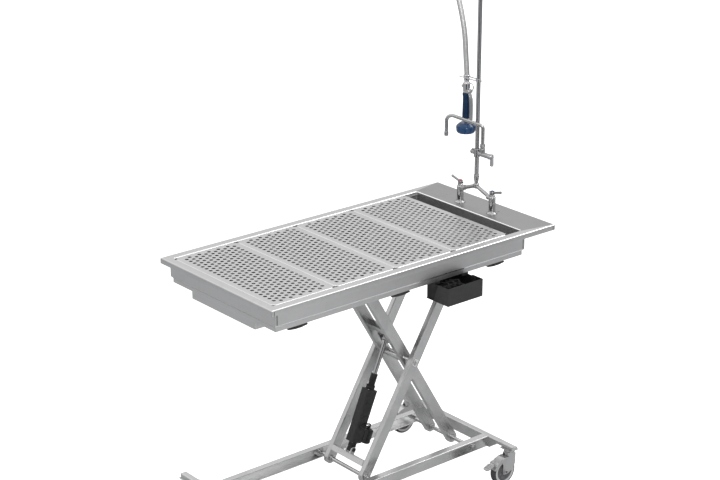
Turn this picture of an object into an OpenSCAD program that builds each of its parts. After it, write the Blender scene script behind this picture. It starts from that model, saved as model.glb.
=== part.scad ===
// Veterinary wet exam table: four perforated trays over a tub, on an electric scissor lift with
// casters, with a deck-mounted faucet, a riser pipe and a spray hose. Lengths are in millimetres.
// X runs along the table towards the faucet, Y across it and Z up from the floor.

/* [Table top] */
// Length of the table top over its apron
top_l = 1524; // [1400:2:1700]
// Width of the table top over its apron
top_w = 750; // [700:2:800]
// Height of the apron that hangs round the rim
apron_h = 25; // [20:1:32]
// Thickness of the stainless sheet of the top, tub and skirt
sheet_t = 2; // [1.5:0.1:2.5]
// Width of the rim at the left end
rim_left = 38; // [30:1:50]
// Width of the rim along the two long sides
rim_side = 42; // [36:1:50]
// Length of the deck that carries the faucet
deck_l = 164; // [150:1:180]
// Depth of the ledge that carries the trays, below the rim
ledge_drop = 10; // [8:0.5:14]
// Width of the ledge that carries the trays
ledge_w = 14; // [10:1:20]
// Depth of the tub floor at its high left end, below the rim
floor_high_depth = 62; // [50:1:66]
// Depth of the tub floor at the drain, below the rim
floor_low_depth = 80; // [72:1:80]

/* [Trays] */
// Number of perforated trays
tray_n = 4; // [3:1:4]
// Open trough between the last tray and the tub end
trough_l = 74; // [60:1:90]
// Gap between neighbouring trays and round them
tray_gap = 1; // [0.6:0.1:2]
// Diameter of the round holes in the trays
hole_d = 15; // [8:0.1:17]
// Distance between neighbouring holes
hole_pitch = 27.7; // [26:0.1:38]
// Plain border beside the first and last row of holes
tray_border = 32; // [26:1:38]
// Radius of the finger notch in each tray corner
notch_r = 7; // [5:0.5:9]

/* [Skirt and support frame] */
// Distance from the apron to the skirt along the long sides
skirt_in_side = 23; // [21:1:28]
// Distance from the apron to the skirt at the left end
skirt_in_left = 32; // [28:1:34]
// Distance from the right edge of the deck to the skirt
skirt_in_right = 157; // [154:1:160]
// Height of the skirt below the rim down to its bevel
skirt_h = 82; // [80:1:90]
// Size of the bevel that draws the skirt in to the band
skirt_bevel = 8; // [6:1:10]
// Height of the band under the skirt
band_h = 18; // [14:1:24]
// Width of the band's top and bottom flanges
band_w = 12; // [10:1:18]
// Thickness of the band
band_t = 3; // [2:0.5:4]
// Length of one tie-down cleat
cleat_l = 96; // [70:1:120]

/* [Scissor lift] */
// Length of a leg between its end pivots
leg_len = 1060; // [1000:2:1120]
// Angle of the legs above level with the table raised
raised_angle = 59; // [56:0.5:60]
// Depth of a leg tube
leg_d = 50; // [40:1:50]
// Width of a leg tube
leg_w = 25; // [20:1:28]
// Wall of a leg tube
leg_t = 2; // [1.5:0.5:4]
// Distance between the outer faces of the outer legs
outer_span = 260; // [250:2:270]
// Distance between the outer faces of the inner legs
inner_span = 168; // [160:2:176]
// Position of the fixed pivots along the table from its middle
pivot_x = 458; // [440:1:470]
// Diameter of the pivot and roller axles
axle_d = 18; // [14:1:20]
// Diameter of a roller
roller_d = 42; // [34:1:42]
// Width of a roller
roller_w = 22; // [16:1:24]

/* [Channels and base] */
// Height of the lift channels and the base rails
rail_h = 50; // [46:1:54]
// Width of the flanges of the channels and rails
rail_w = 35; // [30:1:40]
// Wall of the channels and rails
rail_t = 3; // [2:0.5:4]
// Distance between the outer faces of a pair of channels or rails
rail_span = 424; // [410:2:440]
// Length of a cross member of the base
cross_l = 740; // [700:2:744]
// Width of a cross member of the base
cross_w = 30; // [26:1:34]
// Position of the left cross member along the table from its middle
cross_left_x = -689; // [-700:1:-680]
// Position of the right cross member along the table from its middle
cross_right_x = 566; // [560:1:580]

/* [Casters] */
// Diameter of a caster wheel
wheel_d = 125; // [100:1:130]
// Width of a caster wheel
wheel_w = 32; // [26:1:34]
// Height of a caster from the floor to its top plate
caster_h = 160; // [156:1:175]
// Distance from the swivel axis to the wheel axle
caster_trail = 38; // [30:1:42]
// Distance from the end of a cross member to the swivel axis of its caster
caster_in = 35; // [28:1:45]

/* [Actuator] */
// Distance from the lower pivot to the actuator clevis along the leg
clevis_along = 80; // [76:1:90]
// Distance of the clevis from the middle line of the legs
clevis_off = 20; // [16:1:24]
// Distance from the centre axle to the upper rod pin along the inner legs
rod_pin_along = 103; // [96:1:110]
// Length of the actuator housing
housing_l = 240; // [220:1:250]
// Depth of the actuator housing
housing_d = 56; // [46:1:58]
// Width of the actuator housing
housing_w = 44; // [36:1:50]
// Diameter of the actuator's outer tube
tube_d = 30; // [26:1:32]
// Diameter of the actuator's steel rod
rod_d = 20; // [16:1:22]

/* [Control box] */
// Length of the control box
box_l = 193; // [170:1:210]
// Depth of the control box from front to back
box_w = 133; // [120:1:150]
// Height of the control box
box_h = 77; // [66:1:84]
// Wall of the control box
box_t = 3; // [2:0.5:4]
// Position of the control box along the table from its middle
box_x = 193; // [150:1:240]
// Distance from the band to the front of the control box
box_reach = 86; // [80:1:96]

/* [Faucet] */
// Distance from the deck's right edge to the faucet
faucet_in = 108; // [96:1:116]
// Distance of the faucet from the table's middle line
faucet_y = 6; // [-12:1:12]
// Distance between the hot and cold valves
valve_span = 203.2; // [190:0.2:210]
// Diameter of the riser pipe
riser_d = 17; // [14:0.5:18]
// Height of the top of the riser above the deck
riser_top = 1000; // [940:5:1040]
// Height of the add-on faucet above the deck
addon_h = 251; // [235:1:270]
// Height of the bend of the swing nozzle above the deck
nozzle_h = 378; // [360:1:390]
// Reach of the swing nozzle
nozzle_reach = 165; // [140:1:180]
// Diameter of the swing nozzle
nozzle_d = 14; // [11:0.5:15]
// Diameter of the spray hose
hose_d = 18; // [14:0.5:20]
// Outer diameter of the overhead spring
spring_d = 32; // [29:0.5:36]
// Wire diameter of the overhead spring
spring_wire = 3; // [2:0.25:3.5]
// Number of turns of the overhead spring
spring_turns = 44; // [30:1:50]

/* [Hidden] */

$fn = 48;
tube_fn = 10;

// Overrun of every cut, and the gaps of moving and seated pieces
cut = 1;
half_turn = 180;
quarter_turn = 90;
run_gap = 0.05;
seat_gap = 0.3;
side_gap = 0.6;

// Heights from the floor up
end_lip = 15;
rail_top = caster_h + end_lip;
pivot_low_z = rail_top - rail_h / 2;
lift_rise = leg_len * sin(raised_angle);
leg_run = leg_len * cos(raised_angle);
pivot_high_z = pivot_low_z + lift_rise;
channel_top = pivot_high_z + rail_h / 2;
deck_z = channel_top + skirt_h + skirt_bevel;
roller_x = pivot_x - leg_run;
centre_x = pivot_x - leg_run / 2;
centre_z = pivot_low_z + lift_rise / 2;

// Colours
steel_c = [0.74, 0.75, 0.76];
bright_c = [0.84, 0.85, 0.86];
chrome_c = [0.70, 0.71, 0.73];
zinc_c = [0.66, 0.67, 0.68];
black_c = [0.12, 0.12, 0.13];
blue_c = [0.10, 0.20, 0.38];
hose_c = [0.78, 0.79, 0.80];
nylon_c = [0.20, 0.20, 0.21];
tyre_c = [0.30, 0.31, 0.32];

// Block between two corners
module block(x0, x1, y0, y1, z0, z1) {
    translate([x0, y0, z0]) cube([x1 - x0, y1 - y0, z1 - z0]);
}

// Round bar along X, Y or Z between two ends
module bar_x(r, x0, x1) {
    translate([x0, 0, 0]) rotate([0, quarter_turn, 0]) cylinder(h = x1 - x0, r = r);
}
module bar_y(r, y0, y1) {
    translate([0, y1, 0]) rotate([quarter_turn, 0, 0]) cylinder(h = y1 - y0, r = r);
}
module bar_z(r, z0, z1) {
    translate([0, 0, z0]) cylinder(h = z1 - z0, r = r);
}

// Tube along Y or Z with a through bore
module tube_y(ro, ri, y0, y1) {
    difference() {
        bar_y(ro, y0, y1);
        bar_y(ri, y0 - cut, y1 + cut);
    }
}
module tube_z(ro, ri, z0, z1) {
    difference() {
        bar_z(ro, z0, z1);
        bar_z(ri, z0 - cut, z1 + cut);
    }
}

// A shape and its copy on the other side of the table's middle plane
module both_sides() {
    children();
    mirror([0, 1, 0]) children();
}

// Outline in X and Z, extruded along Y
module plate_xz(y0, y1) {
    translate([0, y1, 0]) rotate([quarter_turn, 0, 0]) linear_extrude(y1 - y0) children();
}

// Outline in Y and Z, extruded along X
module plate_yz(x0, x1) {
    translate([x0, 0, 0]) rotate([quarter_turn, 0, quarter_turn]) linear_extrude(x1 - x0) children();
}

// Hexagon nut or head along Z
module hex_z(af, z0, z1) {
    translate([0, 0, z0]) cylinder(h = z1 - z0, d = af / cos(half_turn / 6), $fn = 6);
}

// Hexagon nut or head along Y
module hex_y(af, y0, y1) {
    translate([0, y1, 0]) rotate([quarter_turn, 0, 0]) cylinder(h = y1 - y0, d = af / cos(half_turn / 6), $fn = 6);
}

// Quarter bend and other arcs of round tube in the Y-Z plane, round a centre at the origin
module arc_yz(bend_r, r, a0, a1) {
    rotate([quarter_turn, 0, quarter_turn])
        rotate([0, 0, a0]) rotate_extrude(angle = a1 - a0) translate([bend_r, 0]) circle(r = r);
}

// Tub, rim and deck
tub_left = -top_l / 2 + rim_left;
tub_right = top_l / 2 - deck_l;
tray_l = (tub_right - tub_left - trough_l) / tray_n;
caster_y = cross_l / 2 - caster_in;
tub_side = top_w / 2 - rim_side;
drain_in = 42;
drain_x = tub_right - drain_in;
drain_hole_r = 26;
sump_half = 58;
sump_x = drain_x - sump_half;
lip_w = 8;
screw_hole_r = 3;
screw_hole_in = 72;
screw_hole_x = top_l / 2 - screw_hole_in;
screw_hole_y = -100;

faucet_x = top_l / 2 - faucet_in;
valve_hole_r = 11;
faucet_ys = [faucet_y + valve_span / 2, faucet_y - valve_span / 2];

// Side view of the tub floor, level at the sump and rising to the left end
module floor_profile() {
    polygon([
        [tub_left, deck_z - floor_high_depth], [sump_x, deck_z - floor_low_depth],
        [tub_right, deck_z - floor_low_depth], [tub_right, deck_z - floor_low_depth - sheet_t],
        [sump_x, deck_z - floor_low_depth - sheet_t], [tub_left, deck_z - floor_high_depth - sheet_t],
    ]);
}

// Side view of a long wall of the tub, from the deck sheet down to the floor's underside
module long_wall_profile() {
    polygon([
        [tub_left - sheet_t, deck_z - sheet_t], [tub_right + sheet_t, deck_z - sheet_t],
        [tub_right + sheet_t, deck_z - floor_low_depth - sheet_t],
        [sump_x, deck_z - floor_low_depth - sheet_t], [tub_left, deck_z - floor_high_depth - sheet_t],
        [tub_left - sheet_t, deck_z - floor_high_depth - sheet_t],
    ]);
}

module tub() {
    color(steel_c) difference() {
        union() {
            difference() {
                block(-top_l / 2, top_l / 2, -top_w / 2, top_w / 2, deck_z - apron_h, deck_z);
                block(-top_l / 2 + sheet_t, top_l / 2 - sheet_t, -top_w / 2 + sheet_t, top_w / 2 - sheet_t,
                    deck_z - apron_h - cut, deck_z - sheet_t);
                block(tub_left, tub_right, -tub_side, tub_side, deck_z - sheet_t - cut, deck_z + cut);
            }
            plate_xz(-tub_side, tub_side) floor_profile();
            both_sides() {
                plate_xz(tub_side, tub_side + sheet_t) long_wall_profile();
                block(tub_left, tub_right, tub_side - ledge_w, tub_side,
                    deck_z - ledge_drop - sheet_t, deck_z - ledge_drop);
                block(-top_l / 2 + sheet_t, top_l / 2 - sheet_t, top_w / 2 - sheet_t - lip_w, top_w / 2 - sheet_t,
                    deck_z - apron_h, deck_z - apron_h + sheet_t);
            }
            block(tub_left - sheet_t, tub_left, -tub_side, tub_side,
                deck_z - floor_high_depth - sheet_t, deck_z - sheet_t);
            block(tub_right, tub_right + sheet_t, -tub_side, tub_side,
                deck_z - floor_low_depth - sheet_t, deck_z - sheet_t);
        }
        translate([drain_x, 0, 0])
            bar_z(drain_hole_r, deck_z - floor_low_depth - sheet_t - cut, deck_z - floor_low_depth + cut);
        for (y = faucet_ys)
            translate([faucet_x, y, 0]) bar_z(valve_hole_r, deck_z - sheet_t - cut, deck_z + cut);
        translate([screw_hole_x, screw_hole_y, 0]) bar_z(screw_hole_r, deck_z - sheet_t - cut, deck_z + cut);
    }
}

// Skirt: four walls under the rim with a bevelled foot
skirt_x0 = -top_l / 2 + skirt_in_left;
skirt_x1 = top_l / 2 - skirt_in_right;
skirt_y = top_w / 2 - skirt_in_side;
skirt_foot = deck_z - skirt_h - skirt_bevel;

// Outline across the skirt, straight down and then drawn in by the bevel
module skirt_outline(a0, a1, z_top) {
    polygon([
        [a0, z_top], [a0, deck_z - skirt_h], [a0 + skirt_bevel, skirt_foot],
        [a1 - skirt_bevel, skirt_foot], [a1, deck_z - skirt_h], [a1, z_top],
    ]);
}
module skirt_solid(x0, x1, y, z_top) {
    intersection() {
        plate_xz(-y, y) skirt_outline(x0, x1, z_top);
        plate_yz(x0, x1) skirt_outline(-y, y, z_top);
    }
}
module skirt_void() {
    intersection() {
        plate_xz(-skirt_y - cut, skirt_y + cut) polygon([
            [skirt_x0 + sheet_t, deck_z], [skirt_x0 + sheet_t, deck_z - skirt_h],
            [skirt_x0 + sheet_t + skirt_bevel, skirt_foot], [skirt_x0 + sheet_t + skirt_bevel, skirt_foot - cut],
            [skirt_x1 - sheet_t - skirt_bevel, skirt_foot - cut], [skirt_x1 - sheet_t - skirt_bevel, skirt_foot],
            [skirt_x1 - sheet_t, deck_z - skirt_h], [skirt_x1 - sheet_t, deck_z],
        ]);
        plate_yz(skirt_x0 - cut, skirt_x1 + cut) polygon([
            [-skirt_y + sheet_t, deck_z], [-skirt_y + sheet_t, deck_z - skirt_h],
            [-skirt_y + sheet_t + skirt_bevel, skirt_foot], [-skirt_y + sheet_t + skirt_bevel, skirt_foot - cut],
            [skirt_y - sheet_t - skirt_bevel, skirt_foot - cut], [skirt_y - sheet_t - skirt_bevel, skirt_foot],
            [skirt_y - sheet_t, deck_z - skirt_h], [skirt_y - sheet_t, deck_z],
        ]);
    }
}
module skirt() {
    color(steel_c) difference() {
        skirt_solid(skirt_x0, skirt_x1, skirt_y, deck_z - sheet_t);
        skirt_void();
    }
}

// Support frame: the band under the skirt and the arms that reach in over the lift channels
band_top = skirt_foot;
band_x0 = skirt_x0 + skirt_bevel;
band_x1 = skirt_x1 - skirt_bevel;
band_y = skirt_y - skirt_bevel;
box_front = band_y + box_reach;
arm_w = 40;
arm_t = 6;
arm_short = 4;
arm_end = band_y - arm_short;
arm_inset = 70;
arm_n = 4;
arm_step = (band_x1 - band_x0 - 2 * arm_inset) / (arm_n - 1);
rail_y = rail_span / 2;

module support_frame() {
    color(steel_c) union() {
        difference() {
            block(band_x0, band_x1, -band_y, band_y, band_top - band_h, band_top);
            block(band_x0 + band_w, band_x1 - band_w, -band_y + band_w, band_y - band_w,
                band_top - band_h - cut, band_top + cut);
            block(band_x0 + band_t, band_x1 - band_t, -band_y + band_t, band_y - band_t,
                band_top - band_h + band_t, band_top - band_t);
        }
        both_sides() for (i = [0:arm_n - 1])
            translate([band_x0 + arm_inset + i * arm_step, 0, 0])
                block(-arm_w / 2, arm_w / 2, rail_y - rail_w, arm_end, band_top, band_top + arm_t);
    }
}

// Trays: a perforated sheet with its edges turned down on the ledge
tray_y = tub_side - tray_gap;
tray_sink = 1;
tray_top = deck_z - tray_sink;
sixty = 60;
row_step = hole_pitch * sin(sixty);
hole_cols = round((tray_l - tray_gap - 2 * tray_border) / row_step) + 1;
end_border = tray_border - notch_r;
hole_rows = floor((2 * tray_y - 2 * end_border) / hole_pitch) + 1;

module tray(i) {
    x0 = tub_left + i * tray_l + tray_gap / 2;
    x1 = x0 + tray_l - tray_gap;
    mid = (x0 + x1) / 2;
    foot = deck_z - ledge_drop + seat_gap;
    color(bright_c) union() {
        translate([0, 0, tray_top - sheet_t]) linear_extrude(sheet_t) difference() {
            polygon([[x0, -tray_y], [x1, -tray_y], [x1, tray_y], [x0, tray_y]]);
            for (c = [0:hole_cols - 1]) let (short = 1 - c % 2)
                for (r = [0:hole_rows - 1 - short])
                    translate([mid + (c - (hole_cols - 1) / 2) * row_step,
                            (r - (hole_rows - 1 - short) / 2) * hole_pitch])
                        circle(d = hole_d, $fn = 24);
            for (x = [x0, x1]) for (y = [-tray_y, tray_y]) translate([x, y]) circle(r = notch_r);
        }
        both_sides() block(x0 + notch_r + sheet_t, x1 - notch_r - sheet_t, tray_y - sheet_t, tray_y,
            foot, tray_top - sheet_t);
        block(x0, x0 + sheet_t, -tray_y + ledge_w + sheet_t, tray_y - ledge_w - sheet_t, foot - sheet_t,
            tray_top - sheet_t);
        block(x1 - sheet_t, x1, -tray_y + ledge_w + sheet_t, tray_y - ledge_w - sheet_t, foot - sheet_t,
            tray_top - sheet_t);
    }
}

// Drain: a strainer flange, its cup and the tailpiece below the tub
drain_flange_r = 38;
drain_flange_t = 2.5;
cup_r = 24;
cup_wall = 2;
cup_h = 34;
drain_nut_r = 34;
drain_nut_h = 8;
tail_r = 19;
tail_wall = 1.6;
tail_l = 110;
slip_nut_af = 52;
slip_nut_h = 18;
strainer_hole_r = 3;
strainer_ring_r = 15;
strainer_n = 8;

module drain() {
    z = deck_z - floor_low_depth;
    cup_z = z - cup_h;
    translate([drain_x, 0, 0]) {
        color(bright_c) difference() {
            union() {
                rotate_extrude() polygon([
                    [0, z + drain_flange_t], [drain_flange_r - drain_flange_t, z + drain_flange_t],
                    [drain_flange_r, z], [cup_r, z], [cup_r, cup_z], [0, cup_z],
                ]);
            }
            bar_z(cup_r - cup_wall, cup_z + cup_wall, z - cup_wall);
            for (i = [0:strainer_n - 1]) rotate([0, 0, i * half_turn * 2 / strainer_n])
                translate([strainer_ring_r, 0, 0]) bar_z(strainer_hole_r, z - cup_wall - cut, z + drain_flange_t + cut);
            bar_z(tail_r - 2 * tail_wall, cup_z - cut, cup_z + cup_wall + cut);
        }
        color(zinc_c) tube_z(drain_nut_r, cup_r, z - sheet_t - drain_nut_h, z - sheet_t);
        color(chrome_c) difference() {
            union() {
                bar_z(tail_r, cup_z - tail_l, cup_z + cup_wall / 2);
                hex_z(slip_nut_af, cup_z - slip_nut_h, cup_z);
            }
            bar_z(tail_r - tail_wall, cup_z - tail_l - cut, cup_z + cup_wall);
        }
    }
}

// Tie-down cleats under the band, three on each long side
cleat_foot_l = 30;
cleat_foot_h = 4;
cleat_h = 9;
cleat_w = 10;
cleat_edge = 1;
cleat_in_left = 111;
cleat_in_right = 150;
cleat_xs = [
    band_x0 + cleat_in_left, (band_x0 + cleat_in_left + band_x1 - cleat_in_right) / 2, band_x1 - cleat_in_right,
];

module cleat() {
    z = band_top - band_h;
    block(-cleat_foot_l / 2, cleat_foot_l / 2, -cleat_w / 2, cleat_w / 2, z - cleat_foot_h, z);
    plate_xz(-cleat_w / 2, cleat_w / 2) polygon([
        [-cleat_foot_l / 2, z - cleat_foot_h], [cleat_foot_l / 2, z - cleat_foot_h],
        [cleat_l / 2 - cleat_edge, z - cleat_foot_h + cleat_edge], [cleat_l / 2, z - cleat_foot_h],
        [cleat_l / 2 - cleat_edge, z - cleat_h], [cleat_foot_l / 2, z - cleat_foot_h - cleat_h],
        [-cleat_foot_l / 2, z - cleat_foot_h - cleat_h], [-cleat_l / 2 + cleat_edge, z - cleat_h],
        [-cleat_l / 2, z - cleat_foot_h], [-cleat_l / 2 + cleat_edge, z - cleat_foot_h + cleat_edge],
    ]);
}
module tie_down_cleats() {
    color(black_c) both_sides() for (x = cleat_xs)
        translate([x, band_y - band_w / 2, 0]) cleat();
}

// Lift channels under the tub and base rails on the floor side, each open inwards
module rail_profile(y, z0) {
    difference() {
        translate([y - rail_w, z0]) square([rail_w, rail_h]);
        translate([y - rail_w - cut, z0 + rail_t]) square([rail_w - rail_t + cut, rail_h - 2 * rail_t]);
    }
}
module rail(x0, x1, z0, bore_z) {
    difference() {
        plate_yz(x0, x1) rail_profile(rail_y, z0);
        translate([pivot_x, 0, bore_z]) bar_y(axle_d / 2 + run_gap, rail_y - rail_t - cut, rail_y + cut);
    }
}
channel_x0 = band_x0 + band_w;
channel_past = 42;
channel_x1 = pivot_x + channel_past;
cap_depth = 12;

module lift_channel_back() {
    color(steel_c) rail(channel_x0, channel_x1, channel_top - rail_h, pivot_high_z);
}
module lift_channel_front() {
    color(steel_c) mirror([0, 1, 0]) rail(channel_x0, channel_x1, channel_top - rail_h, pivot_high_z);
}

// End caps of the lift channels: the left one shows under the band, the right one is full height
module lift_channel_caps() {
    color(steel_c) {
        difference() {
            block(channel_x0 - cap_depth, channel_x0, -rail_y, rail_y, channel_top - rail_h, band_top - band_h);
            block(channel_x0 - cap_depth + rail_t, channel_x0 + cut, -rail_y + rail_t, rail_y - rail_t,
                channel_top - rail_h + rail_t, band_top - band_h - rail_t);
        }
        difference() {
            block(channel_x1, channel_x1 + cap_depth, -rail_y, rail_y, channel_top - rail_h, channel_top);
            block(channel_x1 - cut, channel_x1 + cap_depth - rail_t, -rail_y + rail_t, rail_y - rail_t,
                channel_top - rail_h + rail_t, channel_top - rail_t);
        }
    }
}

// Fixed axles: a rod through both rails with nuts outside and collars beside the legs
axle_nut_af = 27;
axle_nut_h = 8;
axle_end = 4;
collar_r = 14;
collar_w = 8;

module fixed_axle(z, leg_outer, leg_inner) {
    translate([pivot_x, 0, z]) {
        color(bright_c) bar_y(axle_d / 2, -rail_y - axle_nut_h - axle_end, rail_y + axle_nut_h + axle_end);
        color(zinc_c) both_sides() {
            difference() {
                hex_y(axle_nut_af, rail_y, rail_y + axle_nut_h);
                bar_y(axle_d / 2, rail_y - cut, rail_y + axle_nut_h + cut);
            }
            tube_y(collar_r, axle_d / 2, leg_outer + side_gap, leg_outer + side_gap + collar_w);
            tube_y(collar_r, axle_d / 2, leg_inner - side_gap - collar_w, leg_inner - side_gap);
        }
    }
}
outer_y = outer_span / 2;
inner_y = inner_span / 2;

module upper_axle() {
    fixed_axle(pivot_high_z, outer_y, outer_y - leg_w);
}
module lower_axle() {
    fixed_axle(pivot_low_z, inner_y, inner_y - leg_w);
}

// Legs: rectangular tubes with round ends, welded sleeves for the pivots and closed ends
sleeve_r = 16;
bore_r = axle_d / 2 + run_gap;
end_fill = 8;

// One leg along X from its lower pivot at the origin, between y0 and y0 + leg_w
module leg_tube(y0) {
    difference() {
        union() {
            difference() {
                union() {
                    block(0, leg_len, y0, y0 + leg_w, -leg_d / 2, leg_d / 2);
                    bar_y(leg_d / 2, y0, y0 + leg_w);
                    translate([leg_len, 0, 0]) bar_y(leg_d / 2, y0, y0 + leg_w);
                }
                block(end_fill, leg_len - end_fill, y0 + leg_t, y0 + leg_w - leg_t,
                    -leg_d / 2 + leg_t, leg_d / 2 - leg_t);
            }
            for (x = [0, leg_len / 2, leg_len]) translate([x, 0, 0]) bar_y(sleeve_r, y0, y0 + leg_w);
        }
        for (x = [0, leg_len / 2, leg_len])
            translate([x, 0, 0]) bar_y(bore_r, y0 - cut, y0 + leg_w + cut);
    }
}
module outer_frame() {
    translate([roller_x, 0, pivot_low_z]) rotate([0, -raised_angle, 0]) children();
}
module inner_frame() {
    translate([pivot_x, 0, pivot_low_z]) rotate([0, raised_angle - half_turn, 0]) children();
}
module outer_leg_back() {
    color(steel_c) outer_frame() leg_tube(outer_y - leg_w);
}
module outer_leg_front() {
    color(steel_c) outer_frame() leg_tube(-outer_y);
}
module inner_leg_back() {
    color(steel_c) inner_frame() leg_tube(inner_y - leg_w);
}
module inner_leg_front() {
    color(steel_c) inner_frame() leg_tube(-inner_y);
}

// Centre axle through all four legs, with spacers between them and a sleeve in the middle
keeper_l = 34;
keeper_w = 12;
keeper_t = 4;
keeper_off = 22;
spacer_r = 20;
mid_sleeve_r = 17;

module centre_axle() {
    translate([centre_x, 0, centre_z]) {
        color(bright_c) bar_y(axle_d / 2, -outer_y - keeper_t, outer_y + keeper_t);
        color(zinc_c) {
            tube_y(mid_sleeve_r, axle_d / 2, -inner_y + leg_w + side_gap, inner_y - leg_w - side_gap);
            both_sides() tube_y(spacer_r, axle_d / 2, inner_y + side_gap, outer_y - leg_w);
            both_sides() rotate([0, -raised_angle, 0]) difference() {
                translate([0, 0, keeper_off / 2])
                    block(-keeper_w / 2, keeper_w / 2, outer_y, outer_y + keeper_t, -keeper_l / 2, keeper_w / 2);
                bar_y(axle_d / 2, outer_y - cut, outer_y + keeper_t + cut);
            }
        }
    }
}

// Cross member near the foot of the outer legs, with the lugs of the actuator clevis
cross_along = 48;
cross_bar_l = 26;
cross_bar_t = 3;
lug_t = 6;
lug_r = 13;
lug_gap = 25;
clevis_pin_d = 12;

module outer_cross_member() {
    top = leg_d / 2;
    color(steel_c) outer_frame() difference() {
        union() {
            difference() {
                block(cross_along - cross_bar_l / 2, cross_along + cross_bar_l / 2,
                    -outer_y + leg_w, outer_y - leg_w, 0, top);
                block(cross_along - cross_bar_l / 2 + cross_bar_t, cross_along + cross_bar_l / 2 - cross_bar_t,
                    -outer_y + leg_w - cut, outer_y - leg_w + cut, cross_bar_t, top - cross_bar_t);
            }
            both_sides() {
                block(cross_along + cross_bar_l / 2, clevis_along, lug_gap / 2, lug_gap / 2 + lug_t,
                    clevis_off - lug_r, clevis_off + lug_r);
                translate([clevis_along, 0, clevis_off]) bar_y(lug_r, lug_gap / 2, lug_gap / 2 + lug_t);
            }
        }
        translate([clevis_along, 0, clevis_off])
            bar_y(clevis_pin_d / 2 + run_gap, -lug_gap / 2 - lug_t - cut, lug_gap / 2 + lug_t + cut);
    }
}

// Cross bar between the inner legs, with the ears that take the push of the rod
ear_t = 6;
ear_r = 14;
ear_gap = 34;
ear_reach = 54;
inner_bar_l = 30;
inner_bar_d = 30;
inner_bar_back = 10;

module inner_cross_bar() {
    ear_x = leg_len / 2 + rod_pin_along;
    bar_x0 = ear_x + ear_reach - inner_bar_l / 2;
    color(steel_c) inner_frame() {
        difference() {
            block(bar_x0, bar_x0 + inner_bar_l, -inner_y + leg_w, inner_y - leg_w,
                -inner_bar_d / 2 - inner_bar_back, inner_bar_d / 2 - inner_bar_back);
            block(bar_x0 + cross_bar_t, bar_x0 + inner_bar_l - cross_bar_t,
                -inner_y + leg_w - cut, inner_y - leg_w + cut,
                -inner_bar_d / 2 - inner_bar_back + cross_bar_t, inner_bar_d / 2 - inner_bar_back - cross_bar_t);
        }
        both_sides() difference() {
            union() {
                block(ear_x, bar_x0, ear_gap / 2, ear_gap / 2 + ear_t, -ear_r, ear_r);
                translate([ear_x, 0, 0]) bar_y(ear_r, ear_gap / 2, ear_gap / 2 + ear_t);
            }
            translate([ear_x, 0, 0]) bar_y(clevis_pin_d / 2, ear_gap / 2 - cut, ear_gap / 2 + ear_t + cut);
        }
    }
}

// Roller axles: the lower one turns in the feet of the outer legs, the upper one in the inner legs
roller_out = 4;
roller_rim = 2;
roller_hub_r = 14;

module roller_set(x, z, leg_outer, leg_inner) {
    y1 = rail_y - rail_t - roller_out;
    translate([x, 0, z]) {
        color(bright_c) union() {
            bar_y(axle_d / 2, -y1, y1);
        }
        both_sides() {
            color(nylon_c) rotate([-quarter_turn, 0, 0]) rotate_extrude() polygon([
                [axle_d / 2, y1 - roller_w], [roller_d / 2 - roller_rim, y1 - roller_w],
                [roller_d / 2, y1 - roller_w + roller_rim], [roller_d / 2, y1 - roller_rim],
                [roller_d / 2 - roller_rim, y1], [roller_hub_r, y1], [roller_hub_r, y1 - roller_rim],
                [axle_d / 2, y1 - roller_rim],
            ]);
            color(zinc_c) tube_y(collar_r, axle_d / 2, leg_outer + side_gap, leg_outer + side_gap + collar_w);
            color(zinc_c) tube_y(collar_r, axle_d / 2, leg_inner - side_gap - collar_w, leg_inner - side_gap);
        }
    }
}
module lower_rollers() {
    roller_set(roller_x, pivot_low_z, outer_y, outer_y - leg_w);
}
module upper_rollers() {
    roller_set(roller_x, pivot_high_z, inner_y, inner_y - leg_w);
}

// Actuator, laid between the clevis on the outer legs and the ears on the inner legs
clevis_x = roller_x + clevis_along * cos(raised_angle) - clevis_off * sin(raised_angle);
clevis_z = pivot_low_z + clevis_along * sin(raised_angle) + clevis_off * cos(raised_angle);
rod_pin_x = centre_x - rod_pin_along * cos(raised_angle);
rod_pin_z = centre_z + rod_pin_along * sin(raised_angle);
actuator_angle = atan2(rod_pin_z - clevis_z, rod_pin_x - clevis_x);
actuator_l = norm([rod_pin_x - clevis_x, rod_pin_z - clevis_z]);
clevis_block = 34;
eye_r = 13;
eye_w = lug_gap - 2 * side_gap;
housing_r = 4;
tube_end = 344;
tube_bore_r = rod_d / 2 + run_gap;
rod_hold = 20;
rod_start = tube_end - rod_hold;
rod_travel = 150;
rod_nut_l = 3;
rod_eye_w = 24;
gland_r = 19;
gland_l = 14;
pin_head_r = 9;
pin_head_t = 3;
motor_l = 92;
motor_x = 36;
motor_r = 21;
motor_out = 46;
motor_cap = 6;
seam_d = 1.2;
seam_w = 2;
rib_n = 3;

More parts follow.
